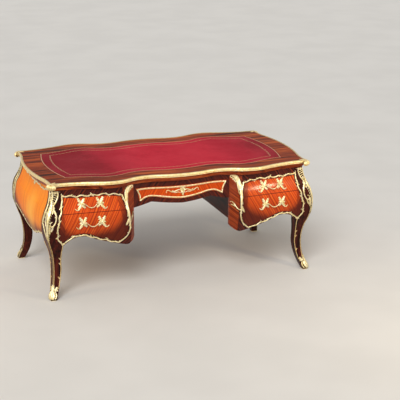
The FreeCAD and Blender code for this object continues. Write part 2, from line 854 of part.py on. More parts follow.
def lock_zone(extra):
    z = place((centre_box_shares[0] + centre_box_shares[1]) / 2, height)
    return box(-lock_width / 2 - extra, lock_width / 2 + extra, -centre_back_plane - lock_depth - extra,
               -centre_back_plane, z - lock_height / 2 - extra, z + lock_height / 2 + extra)


def make_centre_drawer_front():
    body = centre_slab(0).common(centre_prism(-drawer_gap))
    return body.cut(lock_zone(seat_gap)).cut(keyhole())


def make_lock():
    z = place((centre_box_shares[0] + centre_box_shares[1]) / 2, height)
    case = lock_zone(0)
    return case.cut(keyhole())


def make_centre_box():
    x = place(centre_box_share, half_length)
    z0, z1 = [place(s, height) for s in centre_box_shares]
    return make_box(-x, x, -centre_back_plane, -centre_back_plane + centre_box_depth, z0, z1)


def make_centre_runners():
    wall = place(inner_wall_share, half_length)
    x = place(centre_box_share, half_length)
    z = place(centre_box_shares[0], height)
    y = centre_back_plane - seat_gap
    ledge = box(x - runner_ledge, wall, -y, y, z - runner_height, z - runner_lift)
    guide = box(x + box_clearance, wall, -y, y, z - runner_height, z + guide_height)
    one = ledge.fuse(guide).removeSplitter()
    return Part.makeCompound([one, mirror_x(one)])


def make_centre_mount():
    points = sized(centre_mount_shares)
    outline = points + [(-a, b) for a, b in reversed(points[1:-1])]
    face = Part.Face(polygon(in_front(outline, half_width + overrun)))
    skin = centre_slab(mount_depth).cut(centre_slab(0))
    return face.extrude(V(0, half_width, 0)).common(skin).cut(keyhole())


# Handles

def handle_y(share):
    return front_y(handle_place, share) + post_reach


def make_plates(share):
    # Two leafy backplates laid on the drawer front, each with a post that holds a pin of the bail
    z = place(share, height)
    y_pin = handle_y(share)
    half = [(a * plate_half_width, b * plate_half_height) for a, b in plate_shares]
    outline = half + [(-a, b) for a, b in reversed(half[1:-1])]
    bodies = []
    for side in (-1, 1):
        x = handle_place + side * post_half_span
        plate = on_front([(x + a, z + b) for a, b in outline], plate_seat, plate_seat + plate_depth)
        turns = [math.radians(turn) for turn in range(0, 360, 360 // rod_sides)]
        ring = [(x + post_radius * math.cos(a), z + post_radius * math.sin(a)) for a in turns]
        tip = [V(px, -y_pin - post_radius, pz) for px, pz in ring]
        root = [V(px, -front_y(px, pz / height) - seat_gap, pz) for px, pz in ring]
        post = faceted([root, tip])
        hole = Part.makeCylinder(bail_radius + pin_clearance, pin_depth, V(x - side * post_radius, -y_pin, z),
                                 V(side, 0, 0))
        bodies.append(plate.fuse(post).cut(hole))
    return Part.makeCompound(bodies)


def on_front(outline, near, far):
    # Faceted plate between two distances from the pedestal's front skin
    rings = [[V(x, -front_y(x, z / height) - out, z) for x, z in outline] for out in (near, far)]
    return faceted(rings)


def make_bail(share, lean):
    # Drooping bail between its two pins, leaning with the drawer front behind it
    z = place(share, height)
    y = -handle_y(share)
    c = handle_place
    radius = (bail_half_span ** 2 + bail_sag ** 2) / (2 * bail_sag)
    turn = math.asin(bail_half_span / radius)
    drop = bail_bend * (1 - math.cos(turn))
    along = bail_bend * math.sin(turn)
    tip = post_half_span - post_radius + pin_depth - pin_end_gap
    half_turn = turn / 2
    edges = []
    start = V(c - tip, y, z)
    p1 = V(c - bail_half_span - along, y, z)
    q1 = V(p1.x + bail_bend * math.sin(half_turn), y, z - bail_bend * (1 - math.cos(half_turn)))
    p2 = V(c - bail_half_span, y, z - drop)
    low = V(c, y, z - drop - bail_sag)
    p3 = V(c + bail_half_span, y, z - drop)
    p4 = V(c + bail_half_span + along, y, z)
    q4 = V(p4.x - bail_bend * math.sin(half_turn), y, z - bail_bend * (1 - math.cos(half_turn)))
    end = V(c + tip, y, z)
    pins = [Part.makeCylinder(bail_radius, (p1 - start).Length, start, V(1, 0, 0)),
            Part.makeCylinder(bail_radius, (end - p4).Length, p4, V(1, 0, 0))]
    centre = V(c, y, low.z + radius)
    bow = [centre + V(radius * math.sin(turn * k / bow_steps), 0, -radius * math.cos(turn * k / bow_steps))
           for k in range(-bow_steps, bow_steps + 1)]
    lap = V(bead_radius - bail_radius, 0, 0)
    path = [p1 - lap, p1, q1] + bow + [q4, p4, p4 + lap]
    body = rod(path, bail_radius - seat_gap, V(0, 1, 0), bead_radius).fuse(pins)
    body.rotate(V(c, y, z), V(1, 0, 0), -lean)
    return body


def rod(path, radius, side, middle_radius=None):
    # Rod with a faceted section along a path in one plane; side is square to that plane
    rings = []
    last = len(path) - 1
    for k, point in enumerate(path):
        before = unit(point - path[k - 1]) if k > 0 else unit(path[1] - path[0])
        after = unit(path[k + 1] - point) if k < last else unit(path[last] - path[last - 1])
        across = unit(before + after).cross(side)
        across = across * (1 / across.dot(before.cross(side)))
        wide = middle_radius if middle_radius and 2 * k == last else radius
        ring = []
        for i in range(rod_sides):
            a = 2 * math.pi * (i + 0.5) / rod_sides
            ring.append(point + across * (wide * math.cos(a)) + side * (wide * math.sin(a)))
        rings.append(ring)
    return faceted(rings)


def export(name, shape):
    shape.exportStep("parts/" + name + ".step")


def both(shape):
    return Part.makeCompound([shape, mirror_x(shape)])


def main():
    os.makedirs("parts", exist_ok=True)
    export("top_board", make_top_board())
    export("top_leather", make_leather())
    export("top_edge_moulding", make_edge_moulding())
    export("top_corner_clasps", make_corner_clasps())
    export("top_cove", make_cove())

    export("centre_face_frame", make_centre_frame())
    export("centre_back_panel", make_centre_back())
    export("centre_drawer_front", make_centre_drawer_front())
    export("centre_drawer_box", make_centre_box())
    export("centre_drawer_lock", make_lock())
    export("centre_drawer_mount", make_centre_mount())
    export("centre_runners", make_centre_runners())

    export("face_frames", both(make_face_frame()))
    export("back_panels", both(make_back_panel()))
    export("inner_corners", four(make_inner_corner()))
    export("inner_walls", both(make_inner_wall()))
    export("end_panels", both(make_end_panel()))
    export("bottom_boards", both(make_bottom_board()))
    export("dust_boards", both(make_divider()))
    export("drawer_runners", both(make_runners()))
    export("frame_mounts", both(make_frame_mount()))
    export("corner_scrolls", four(make_scroll()))

    export("legs", four(make_leg()))
    export("leg_sabots", four(make_sabot()))
    export("leg_knee_mounts", four(make_knee_mount()))

    pieces = {
        "upper_drawer_front": make_upper_front(),
        "upper_drawer_box": make_upper_box(),
        "upper_handle_plates": make_plates(upper_handle_share),
        "upper_bail": make_bail(upper_handle_share, upper_bail_lean),
        "lower_drawer_front": make_lower_front(),
        "lower_drawer_box": make_lower_box(),
        "lower_handle_plates": make_plates(lower_handle_share),
        "lower_bail": make_bail(lower_handle_share, lower_bail_lean),
    }
    for name, shape in pieces.items():
        export("right_" + name, shape)
        export("left_" + name, mirror_x(shape))


main()
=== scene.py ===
import bpy
import bmesh
import json
import math
from itertools import product
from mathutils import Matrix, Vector
from mathutils.bvhtree import BVHTree


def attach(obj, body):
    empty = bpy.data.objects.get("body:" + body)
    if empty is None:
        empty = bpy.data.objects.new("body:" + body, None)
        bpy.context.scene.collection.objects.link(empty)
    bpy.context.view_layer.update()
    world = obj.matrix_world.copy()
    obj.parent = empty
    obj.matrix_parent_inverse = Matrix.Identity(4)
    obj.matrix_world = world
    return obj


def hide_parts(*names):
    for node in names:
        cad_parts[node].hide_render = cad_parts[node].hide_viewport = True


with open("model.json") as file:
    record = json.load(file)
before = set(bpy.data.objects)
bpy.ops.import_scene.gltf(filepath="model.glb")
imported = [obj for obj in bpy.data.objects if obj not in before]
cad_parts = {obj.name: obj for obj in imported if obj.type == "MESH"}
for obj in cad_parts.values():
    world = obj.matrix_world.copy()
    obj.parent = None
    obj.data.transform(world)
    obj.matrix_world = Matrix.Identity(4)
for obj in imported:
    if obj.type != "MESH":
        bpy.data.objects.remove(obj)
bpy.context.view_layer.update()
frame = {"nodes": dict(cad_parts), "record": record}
scene = bpy.context.scene
halfLength, fullHeight = 0.940, 0.780  # of the solids, in metres like all lengths here
upwards = Vector((0, 0, 1))


def newMesh(name, spots, edges, faces, **values):
    # a mesh with a value at every point for each further name
    mesh = bpy.data.meshes.new(name)
    mesh.from_pydata(spots, edges, faces)
    for label, row in values.items():
        mesh.attributes.new(label, "FLOAT", "POINT").data.foreach_set("value", row)
    return mesh


def addObject(name, data):
    holder = bpy.data.objects.new(name, data)
    scene.collection.objects.link(holder)
    return holder


def toLinear(hexColour):
    parts = [int(hexColour[i:i + 2], 16) / 255 for i in (1, 3, 5)]
    return [c / 12.92 if c <= 0.04045 else ((c + 0.055) / 1.055) ** 2.4 for c in parts] + [1.0]


# short names of the node kinds that the materials use most, with their settings
nodeKinds = {
    "noise": ("ShaderNodeTexNoise", {}), "stripes": ("ShaderNodeTexNoise", {"noise_dimensions": "1D"}),
    "range": ("ShaderNodeMapRange", {}), "smoothstep": ("ShaderNodeMapRange", {"interpolation_type": "SMOOTHSTEP"}),
    "ramp": ("ShaderNodeValToRGB", {}), "mix": ("ShaderNodeMix", {"data_type": "RGBA"}),
    "bump": ("ShaderNodeBump", {}), "stretch": ("ShaderNodeMapping", {}), "parts": ("ShaderNodeSeparateXYZ", {}),
}


def fill(node, *values):
    # values go into a node's live inputs in order, and those of a dictionary by name; nodes and sockets are
    # linked, "#rrggbb" is a colour, and a tuple such as ("ADD", a, b) becomes a node of its own
    tree = node.id_data
    live = [socket for socket in node.inputs if socket.enabled]
    pairs = []
    for order, value in enumerate(values):
        if isinstance(value, dict):
            pairs += [(node.inputs[name], given) for name, given in value.items()]
        else:
            pairs.append((live[order], value))
    for socket, value in pairs:
        if isinstance(value, tuple) and isinstance(value[0], str):
            value = addNode(tree, *value)
        if isinstance(value, bpy.types.Node):
            value = next(out for out in value.outputs if out.enabled)
        if isinstance(value, bpy.types.NodeSocket):
            tree.links.new(value, socket)
        elif isinstance(value, str) and value.startswith("#"):
            socket.default_value = toLinear(value)
        else:
            socket.default_value = value


def addNode(tree, kind, *values, stops=(), **settings):
    # one node with its settings, the stops of its colour ramp and its inputs; a kind in capitals is a math
    # operation
    kind, preset = nodeKinds.get(kind, (kind, {}))
    if kind.isupper():
        kind, preset = "ShaderNodeMath", {"operation": kind}
    node = tree.nodes.new(kind)
    for key, value in {**preset, **settings}.items():
        setattr(node, key, value)
    if stops:
        band = node.color_ramp
        band.interpolation = "EASE"
        while len(band.elements) < len(stops):
            band.elements.new(0.5)
        for element, (at, colour) in zip(band.elements, stops):
            element.position = at
            element.color = toLinear(colour)
    fill(node, *values)
    return node


def oval(a, b, power):
    # how far out a place lies, where 1 is the edge of a rounded box
    return ("SQRT", ("ADD", ("POWER", ("ABSOLUTE", a), power), ("POWER", ("ABSOLUTE", b), power)))


def polishWood(shader, wood, grain, look):
    # French polish: a thin clear coat over pores that still show a little
    bump = addNode(shader.id_data, "bump", {"Strength": look["pores"], "Distance": 0.0004, "Height": grain})
    fill(shader, {"Base Color": wood, "Roughness": look["rough"], "IOR": 1.45, "Specular IOR Level": look["specular"],
                  "Coat Weight": look["coat"], "Coat Roughness": 0.10, "Coat IOR": 1.45, "Normal": bump})


# the shade colour is painted shade towards the mounts and edges; it also darkens the cross bands
tulipwoodLook = {"light": "#e6631c", "mid": "#d04a14", "stripe": "#a8340e", "line": "#621a09", "shade": "#360c08",
                 "slope": 0.55, "stripesPerMetre": 78.0, "striping": 1.0, "middle": (0.640, 0.630),
                 "reach": (0.228, 0.202), "bandInside": 0.435, "bandOutside": 0.812, "bandLean": 0.16,
                 "bandFoot": 0.52, "seam": 0.578, "wandersPerMetre": 9.0, "wander": 0.012, "rough": 0.34,
                 "pores": 0.05, "coat": 0.22, "specular": 0.1}
centreTulipwoodLook = {**tulipwoodLook, "light": "#dc5818", "mid": "#c44412", "striping": 0.9,
                       "middle": (0.0, 0.668), "reach": (0.44, 0.100), "coat": 0.08, "specular": 0.05}
# the ends' yellow is a painted glare, a painted highlight low in the middle of the swelling
endTulipwoodLook = {**tulipwoodLook, "light": "#fc9418", "mid": "#f27a12", "stripe": "#de6010", "shade": "#641a0b",
                    "stripesPerMetre": 40.0, "striping": 0.45, "middle": (0.0, 0.66), "reach": (0.47, 0.245),
                    "sunned": "#ffc24e", "coat": 0.06, "specular": 0.03}


def slicedTulipwood(tree, shader, place, part, look):
    # tulipwood sliced into veneer and laid aslant, mirrored left to right: orange with red stripes and dark lines,
    # with painted shade towards the mounts where the swelling faces turn away from the light, and a painted highlight
    # on the ends. Real stripes are 3 to 8 mm wide; these are 13 mm, and 25 mm on the ends, because finer ones would
    # blur at the photograph's size
    x, y, z = addNode(tree, "parts", place).outputs
    across, slope = addNode(tree, "ABSOLUTE", x), ("MULTIPLY", z, look["slope"])
    if part == "ends":
        across, slope = y, 0.0
    if part == "drawers":
        # the bands beside the gilt frames are laid the other way
        inside = ("ADD", look["bandInside"], ("MULTIPLY", ("SUBTRACT", z, look["bandFoot"]), look["bandLean"]))
        band = addNode(tree, "MAXIMUM", ("LESS_THAN", across, inside), ("GREATER_THAN", across, look["bandOutside"]))
        slope = ("MULTIPLY", slope, ("SUBTRACT", 1.0, ("MULTIPLY", band, 2.0)))
    wander = ("MULTIPLY", ("noise", place, look["wandersPerMetre"], 2.0, 0.55), look["wander"])
    diagonal = addNode(tree, "ADD", ("ADD", across, slope), wander)
    wide = addNode(tree, "stripes", diagonal, look["stripesPerMetre"], 3.0, 0.6)
    fine = addNode(tree, "stripes", diagonal, look["stripesPerMetre"] * 2.6, 2.0)
    striped = addNode(tree, "ramp", wide, stops=[(0.36, look["stripe"]), (0.47, look["mid"]), (0.62, look["light"])])
    plain = addNode(tree, "ramp", ("noise", place, 5.0, 2.0, 0.55), stops=[(0.35, look["mid"]), (0.65, look["light"])])
    wood = addNode(tree, "mix", look["striping"], plain, striped)
    cloud = addNode(tree, "MULTIPLY", ("SUBTRACT", ("noise", place, 7.0, 4.0, 0.55), 0.5), 0.7)
    (middleAcross, middleUp), (reachAcross, reachUp) = look["middle"], look["reach"]
    reach = oval(("DIVIDE", ("SUBTRACT", across, middleAcross), reachAcross),
                 ("DIVIDE", ("SUBTRACT", z, middleUp), reachUp), 2.3)
    # painted shade: darker towards the mounts and edges, where the swelling faces turn away from the light
    shade = ("smoothstep", ("ADD", reach, ("MULTIPLY", cloud, 0.5)), 0.80, 1.14)
    layers = [(("MULTIPLY", ("smoothstep", fine, 0.58, 0.68), 0.7 * look["striping"]), look["line"]),
              (("MULTIPLY", shade, 0.9), look["shade"])]
    if part == "drawers":
        # darker bands, painted shade on the lower drawers that deepens towards the floor, and the joint between two
        # drawers
        seam = ("ABSOLUTE", ("SUBTRACT", z, look["seam"]))
        layers += [(("MULTIPLY", band, 0.45), look["shade"]),
                   (("MULTIPLY", ("smoothstep", z, 0.61, 0.47), 0.28), look["line"]),
                   (("SUBTRACT", 1.0, ("smoothstep", seam, 0.0008, 0.0030)), look["line"])]
    if part == "ends":
        # painted highlight: the middle painted lighter, most of all a yellow painted glare low on the swelling
        spot = oval(("MULTIPLY", ("SUBTRACT", z, 0.49), 5.0), ("MULTIPLY", ("ADD", y, 0.06), 5.5), 2.0)
        layers += [(("MULTIPLY", ("SUBTRACT", 1.0, ("smoothstep", reach, 0.1, 0.8)), 0.55), look["light"]),
                   (("MULTIPLY", ("SUBTRACT", 1.0, ("smoothstep", ("ADD", spot, cloud), 0.0, 1.0)), 0.6),
                    look["sunned"])]
    for factor, colour in layers:
        wood = addNode(tree, "mix", factor, wood, colour)
    polishWood(shader, wood, fine, look)


rosewoodScales = {"x": (4.0, 60.0, 60.0), "y": (60.0, 4.0, 60.0), "z": (60.0, 60.0, 5.0)}


def slicedRosewood(tree, shader, place, along, dark, mid, light, coat, specular):
    # rosewood sliced along the grain, which runs along one axis: near black streaks in red brown, some 17 mm
    # wide and 250 mm long as in a broad plank
    layers = []
    for share, detail, rough, distortion in ((1.0, 5.0, 0.62, 0.6), (0.25, 3.0, 0.5, 1.2)):
        spread = ("stretch", {"Vector": place, "Scale": [s * share for s in rosewoodScales[along]]})
        layers.append(addNode(tree, "noise", spread, 1.0, detail, rough, {"Distortion": distortion}))
    grain, figure = layers
    wood = addNode(tree, "ramp", ("ADD", ("MULTIPLY", grain, 0.55), ("MULTIPLY", figure, 0.45)),
                   stops=[(0.40, dark), (0.50, mid), (0.62, light)])
    polishWood(shader, wood, grain, {"rough": 0.36, "pores": 0.06, "coat": coat, "specular": specular})


slantedLook = {"stripesPerMetre": 75.0, "wandersPerMetre": 11.0, "wander": 0.03, "rough": 0.34, "pores": 0.05,
               "coat": 0.2, "specular": 0.1}


def slantedRosewood(tree, shader, place, slope, dark, mid, light):
    # rosewood veneer laid aslant like the drawers but darker, in stripes some 13 mm wide that mirror left to
    # right; a little coarser than the real figure so that they show
    x, _, z = addNode(tree, "parts", place).outputs
    wander = ("MULTIPLY", ("noise", place, slantedLook["wandersPerMetre"], 2.0, 0.55), slantedLook["wander"])
    diagonal = ("ADD", ("ADD", ("ABSOLUTE", x), ("MULTIPLY", z, slope)), wander)
    wide = addNode(tree, "stripes", diagonal, slantedLook["stripesPerMetre"], 4.0, 0.62)
    wood = addNode(tree, "ramp", wide, stops=[(0.36, dark), (0.5, mid), (0.66, light)])
    polishWood(shader, wood, wide, slantedLook)


def sawnOak(tree, shader, place):
    # quarter sawn oak, planed and left bare: dull pale brown, its growth rings 8 mm apart and open to the touch
    grain = addNode(tree, "noise", ("stretch", {"Vector": place, "Scale": (120.0, 6.0, 120.0)}), 1.0, 5.0, 0.6)
    wood = addNode(tree, "ramp", grain, stops=[(0.3, "#8a6338"), (0.55, "#a87f4c"), (0.8, "#bd9763")])
    bump = addNode(tree, "bump", {"Strength": 0.25, "Distance": 0.0004, "Height": grain})
    fill(shader, {"Base Color": wood, "Roughness": 0.7, "Normal": bump})


# the lighter middle of the leather is a painted highlight
leatherLook = {"deep": "#86091b", "mid": "#a90e27", "bright": "#c01830", "grainMillimetres": 2.2,
               "cloudsPerMetre": 2.6, "mottlesPerMetre": 34.0, "wornMiddle": 0.12, "wornTo": 0.75, "wornMost": 0.15}


def dyedLeather(tree, shader, place):
    # goat skin dyed crimson and waxed: a soft dull gloss, and a middle painted lighter as a painted highlight where the
    # light falls brightest. Its pebbles are 2.2 mm instead of the real 0.8 mm, because finer ones would not show
    cloud = addNode(tree, "noise", place, leatherLook["cloudsPerMetre"], 4.0, 0.6)
    mottle = addNode(tree, "noise", place, leatherLook["mottlesPerMetre"], 3.0, 0.6)
    x = addNode(tree, "parts", place).outputs[0]
    # painted highlight: the leather is painted lighter towards the middle
    paintedHighlightMask = ("smoothstep", ("ABSOLUTE", ("SUBTRACT", x, leatherLook["wornMiddle"])), leatherLook["wornTo"],
            leatherLook["wornMost"])
    blotches = ("ADD", ("MULTIPLY", cloud, 0.7), ("MULTIPLY", mottle, 0.3))
    skin = addNode(tree, "ramp", ("ADD", ("MULTIPLY", blotches, 0.62), ("MULTIPLY", paintedHighlightMask, 0.36)),
                   stops=[(0.30, leatherLook["deep"]), (0.50, leatherLook["mid"]), (0.72, leatherLook["bright"])])
    pebble = addNode(tree, "ShaderNodeTexVoronoi", place, 1000.0 / leatherLook["grainMillimetres"],
                     feature="DISTANCE_TO_EDGE")
    height = ("ADD", ("MINIMUM", pebble, 0.25), ("MULTIPLY", mottle, 0.6))
    bump = addNode(tree, "bump", {"Strength": 0.22, "Distance": 0.0006, "Height": height})
    rough = addNode(tree, "range", cloud, 0.3, 0.7, 0.52, 0.40)
    fill(shader, {"Base Color": skin, "Roughness": rough, "Specular IOR Level": 0.03, "Normal": bump})


# the hollows of the gilt get painted shade and brown dirt
giltLook = {"dirt": "#4a2c12", "cloudsPerMetre": 60.0, "marksPerMetre": 420.0, "dirtTo": 0.66, "duller": 0.22}


def giltBronze(tree, shader, place, light, mid, dark, rough, dirt):
    # bronze, cast, chased and fire gilt: bright on the ridges, dull gold in the hollows with painted shade and brown
    # dirt. The attribute "rise" is 1 on the ridge of a stroke and 0 where it meets the veneer. The chaser's marks are
    # 2.4 mm apart instead of under 1 mm, because finer ones would not show
    cloud = addNode(tree, "noise", place, giltLook["cloudsPerMetre"], 3.0, 0.6)
    chasing = addNode(tree, "noise", place, giltLook["marksPerMetre"], 2.0, 0.5)
    both = addNode(tree, "ADD", ("MULTIPLY", cloud, 0.55), ("MULTIPLY", chasing, 0.45))
    gilt = addNode(tree, "ramp", both, stops=[(0.33, dark), (0.43, mid), (0.58, light)])
    rise = addNode(tree, "ShaderNodeAttribute", attribute_name="rise").outputs["Fac"]
    # painted shade and brown dirt where a stroke sinks to the veneer
    hollowShadeAndDirt = ("MULTIPLY", ("SUBTRACT", 1.0, ("smoothstep", rise, 0.08, giltLook["dirtTo"])), dirt)
    gilt = addNode(tree, "mix", hollowShadeAndDirt, gilt, giltLook["dirt"])
    gloss = addNode(tree, "range", both, 0.35, 0.65, rough + giltLook["duller"], rough)
    bump = addNode(tree, "bump", {"Strength": 0.35, "Distance": 0.0007, "Height": chasing})
    fill(shader, {"Base Color": gilt, "Metallic": 1.0, "Roughness": gloss, "Normal": bump})


def flatFinish(tree, shader, place, stretch, detail, metal, rough, stops):
    # one noise between a few tones
    tones = ("noise", ("stretch", {"Vector": place, "Scale": stretch}), 1.0, detail, 0.55)
    fill(shader, {"Base Color": addNode(tree, "ramp", tones, stops=stops), "Metallic": metal, "Roughness": rough})


finishes = {}
for name, make, *values in (
        ("drawerSlicedTulipwood", slicedTulipwood, "drawers", tulipwoodLook),
        ("centreSlicedTulipwood", slicedTulipwood, "centre", centreTulipwoodLook),
        ("endSlicedTulipwood", slicedTulipwood, "ends", endTulipwoodLook),
        ("legSlicedRosewood", slicedRosewood, "z", "#1c0705", "#3a110b", "#5c2013", 0.15, 0.06),
        ("coveSlicedRosewood", slicedRosewood, "x", "#45180c", "#863416", "#b85826", 0.15, 0.06),
        ("topSlicedRosewood", slicedRosewood, "x", "#3c1208", "#84310f", "#bc5822", 0.0, 0.02),
        ("wallSlicedRosewood", slicedRosewood, "y", "#1e0806", "#38120a", "#54200f", 0.0, 0.1),
        ("frameSlantedRosewood", slantedRosewood, 0.72, "#220808", "#48150d", "#6c2711"),
        ("cornerSlantedRosewood", slantedRosewood, 1.2, "#44140a", "#883215", "#b25024"),
        ("insideSawnOak", sawnOak),
        ("crimsonDyedLeather", dyedLeather),
        ("fireGiltBronze", giltBronze, "#fff2cc", "#efda9a", "#96703a", 0.32, 0.85),
        ("burnishedGiltBronze", giltBronze, "#ffebbc", "#f6da96", "#d4ac64", 0.36, 0.40),
        # a darker copy of the gilt for the leg lines: painted shade, because the lower legs stand in shadow
        ("dulledGiltBronze", giltBronze, "#f0d8a4", "#d6b070", "#806034", 0.38, 0.95),
        # mild steel, filed bright along its length and a little tarnished: grey with marks 1 mm wide
        ("filedMildSteel", flatFinish, (900.0, 60.0, 60.0), 3.0, 1.0, 0.38, [(0.3, "#6e6d6a"), (0.7, "#a9a8a3")]),
        # gold leaf pressed into the leather with a hot wheel: a flat gold line, slightly broken
        ("tooledGoldLeaf", flatFinish, (180.0, 180.0, 180.0), 3.0, 0.7, 0.42,
         [(0.34, "#a87a4c"), (0.5, "#cda872"), (0.7, "#e6d2a0")]),
        # a plain sweep of matt paper under the desk: pale and nearly even
        ("rolledMattPaper", flatFinish, (1.5, 1.5, 1.5), 2.0, 0.0, 0.75, [(0.3, "#d9d6d1"), (0.7, "#dedbd6")])):
    finishes[name] = bpy.data.materials.new(name)
    finishes[name].use_nodes = True
    tree = finishes[name].node_tree
    tree.nodes.clear()
    shader = addNode(tree, "ShaderNodeBsdfPrincipled")
    addNode(tree, "ShaderNodeOutputMaterial", {"Surface": shader})
    make(tree, shader, addNode(tree, "ShaderNodeTexCoord").outputs["Object"], *values)
nodeFinishes = {
    "top_cove": "coveSlicedRosewood", "centre_face_frame": "frameSlantedRosewood",
    "face_frames": "frameSlantedRosewood", "inner_corners": "cornerSlantedRosewood",
    "back_panels": "drawerSlicedTulipwood", "centre_back_panel": "centreSlicedTulipwood",
    "end_panels": "endSlicedTulipwood", "centre_drawer_front": "centreSlicedTulipwood",
    "legs": "legSlicedRosewood", "inner_walls": "wallSlicedRosewood", "centre_drawer_lock": "filedMildSteel",
}
for name, node in frame["nodes"].items():
    if name in nodeFinishes:
        finish = nodeFinishes[name]
    elif name.endswith("drawer_front"):
        finish = "drawerSlicedTulipwood"
    elif name.endswith(("_box", "_boards", "_runners")):
        finish = "insideSawnOak"
    else:
        finish = "fireGiltBronze"
    for slot in node.material_slots:
        slot.link = "OBJECT"
        slot.material = finishes[finish]
print("finishes made")

skins = {}
clearOut = 2.0  # where rays start, clear of the desk


def skinOf(*names):
    # the joined surface of some solids, for laying mounts on it
    if names not in skins:
        spots, faces = [], []
        for name in names:
            mesh = frame["nodes"][name].data
            base = len(spots)
            spots += [v.co.copy() for v in mesh.vertices]
            faces += [[base + i for i in p.vertices] for p in mesh.polygons]
        skins[names] = BVHTree.FromPolygons(spots, faces)
    return skins[names]


def castRay(skin, start, way):
    spot, normal, _, _ = skin.ray_cast(Vector(start), Vector(way))
    return None if spot is None else (spot, normal)


def onFront(skin, face, side=1):
    # face -1 is the sitter's side and +1 the back; side -1 mirrors left to right
    return lambda x, z: castRay(skin, (x * side, face * clearOut, z), (0, -face, 0))


def onEnd(skin, side):
    return lambda y, z: castRay(skin, (side * clearOut, y, z), (-side, 0, 0))


legEdges = []
legMesh = frame["nodes"]["legs"].data
for edge in legMesh.edges:
    a, b = (legMesh.vertices[i].co for i in edge.vertices)
    if a.x > 0 and a.y < 0 and abs(a.z - b.z) > 1e-6:
        legEdges.append((a.copy(), b.copy()))


def legCorner(z, wayX, wayY):
    # the front right leg's farthest point in a level direction, at a height
    crossings = [a.lerp(b, (z - a.z) / (b.z - a.z)) for a, b in legEdges if (a.z - z) * (b.z - z) <= 0]
    return max(crossings, key=lambda p: p.x * wayX + p.y * wayY)


# A cast mount is a set of strokes that lie on the veneer: each is a path with a half width at every point.
strokeStep, longStep = 0.004, 0.006  # between the points of a path, on small and on large curves


def smoothLine(points, step):
    # Catmull-Rom line through points, each with its share of the way at the end
    rows = [points[0]] + list(points) + [points[-1]]
    line = []
    for i in range(1, len(rows) - 2):
        p0, p1, p2, p3 = rows[i - 1:i + 3]
        count = max(2, int(math.dist(p1, p2) / step))
        for k in range(count):
            t = k / count
            line.append([0.5 * (2 * b + (c - a) * t + (2 * a - 5 * b + 4 * c - d) * t * t
                                + (3 * b - a - 3 * c + d) * t ** 3) for a, b, c, d in zip(p0, p1, p2, p3)])
    line.append(list(points[-1]))
    return [tuple(p) + (k / (len(line) - 1),) for k, p in enumerate(line)]


def between(values, t):
    # value at a share of the way through a list of values
    place = t * (len(values) - 1)
    i = min(int(place), len(values) - 2)
    return values[i] + (values[i + 1] - values[i]) * (place - i)


def times(width, *factors):
    return [width * factor for factor in factors]


def newCast():
    # raised strokes, with the flatter blades of leaves kept apart because their section is lower
    cast = {"points": [], "edges": [], "out": [], "width": []}
    cast["blades"] = {"points": [], "edges": [], "out": [], "width": []}
    return cast


def addPath(cast, hits, widths, lift=0.0, closed=False):
    # a row of spots with their normals, without those where a ray has missed
    spots = [hit for hit in hits if hit]
    first, count = len(cast["points"]), len(spots)
    if count < 2:
        return
    normals = [n for _, n in spots]
    for k, (spot, normal) in enumerate(spots):
        calm = normal.copy()
        for other in (k - 2, k - 1, k + 1, k + 2):
            if closed or 0 <= other < count:
                calm += normals[other % count]
        cast["points"].append(spot + normal * lift)
        cast["out"].append(calm.normalized())
        cast["width"].append(widths[0] if len(widths) == 1 else between(widths, k / max(1, count - 1)))
        if k:
            cast["edges"].append((first + k - 1, first + k))
    if closed:
        cast["edges"].append((first + count - 1, first))


def stroke(cast, lay, points, widths, lift=0.0, step=strokeStep):
    addPath(cast, [lay(u, v) for u, v, _ in smoothLine(points, step)], widths, lift)


def bead(cast, lay, u, v, size):
    stroke(cast, lay, [(u - size * 0.7, v), (u, v), (u + size * 0.7, v)], times(size, 0.25, 1, 0.25), size * 0.2,
           size * 0.35)


def leaf(cast, lay, base, heading, length, width, bend=0.0, lobes=4, lift=0.0):
    # acanthus leaf: a rib with pointed lobes to both sides; heading and bend in degrees
    turn, spot, rib = math.radians(heading), list(base), []
    for k in range(6):
        rib.append(tuple(spot))
        spot[0] += math.cos(turn) * length / 5
        spot[1] += math.sin(turn) * length / 5
        turn += math.radians(bend) / 5
    stroke(cast["blades"], lay, rib, times(width, 0.12, 0.32, 0.38, 0.34, 0.22, 0.03), lift)
    stroke(cast, lay, rib, times(width, 0.10, 0.09, 0.07, 0.03), lift + width * 0.08)
    ribLine = smoothLine(rib, length / 24)
    for k in range(lobes):
        share = 0.08 + 0.72 * k / max(1, lobes - 1)
        i = int(share * (len(ribLine) - 2))
        u, v = ribLine[i][:2]
        way = math.atan2(ribLine[i + 1][1] - v, ribLine[i + 1][0] - u)
        reach = width * (0.62 - 0.34 * share) * (1.0 if k else 0.8)
        for side in (-1, 1):
            first, last = way + side * math.radians(62), way + side * math.radians(22)
            middle = (u + math.cos(first) * reach * 0.55, v + math.sin(first) * reach * 0.55)
            tip = (middle[0] + math.cos(last) * reach * 0.75, middle[1] + math.sin(last) * reach * 0.75)
            stroke(cast, lay, [(u, v), middle, tip], times(width, 0.10, 0.13, 0.03), lift)


def scroll(cast, lay, centre, radius, start, turns, widths, squeeze=0.35):
    # volute that winds in from a start angle in degrees and ends in a bead
    points = []
    count = max(6, int(abs(turns) * 12))
    for k in range(count + 1):
        angle = math.radians(start) + turns * 2 * math.pi * k / count
        reach = radius * (1 - (1 - squeeze) * k / count)
        points.append((centre[0] + reach * math.cos(angle), centre[1] + reach * math.sin(angle)))
    stroke(cast, lay, points, widths, 0.0, 0.003)
    bead(cast, lay, points[-1][0], points[-1][1], widths[-1] * 1.5)


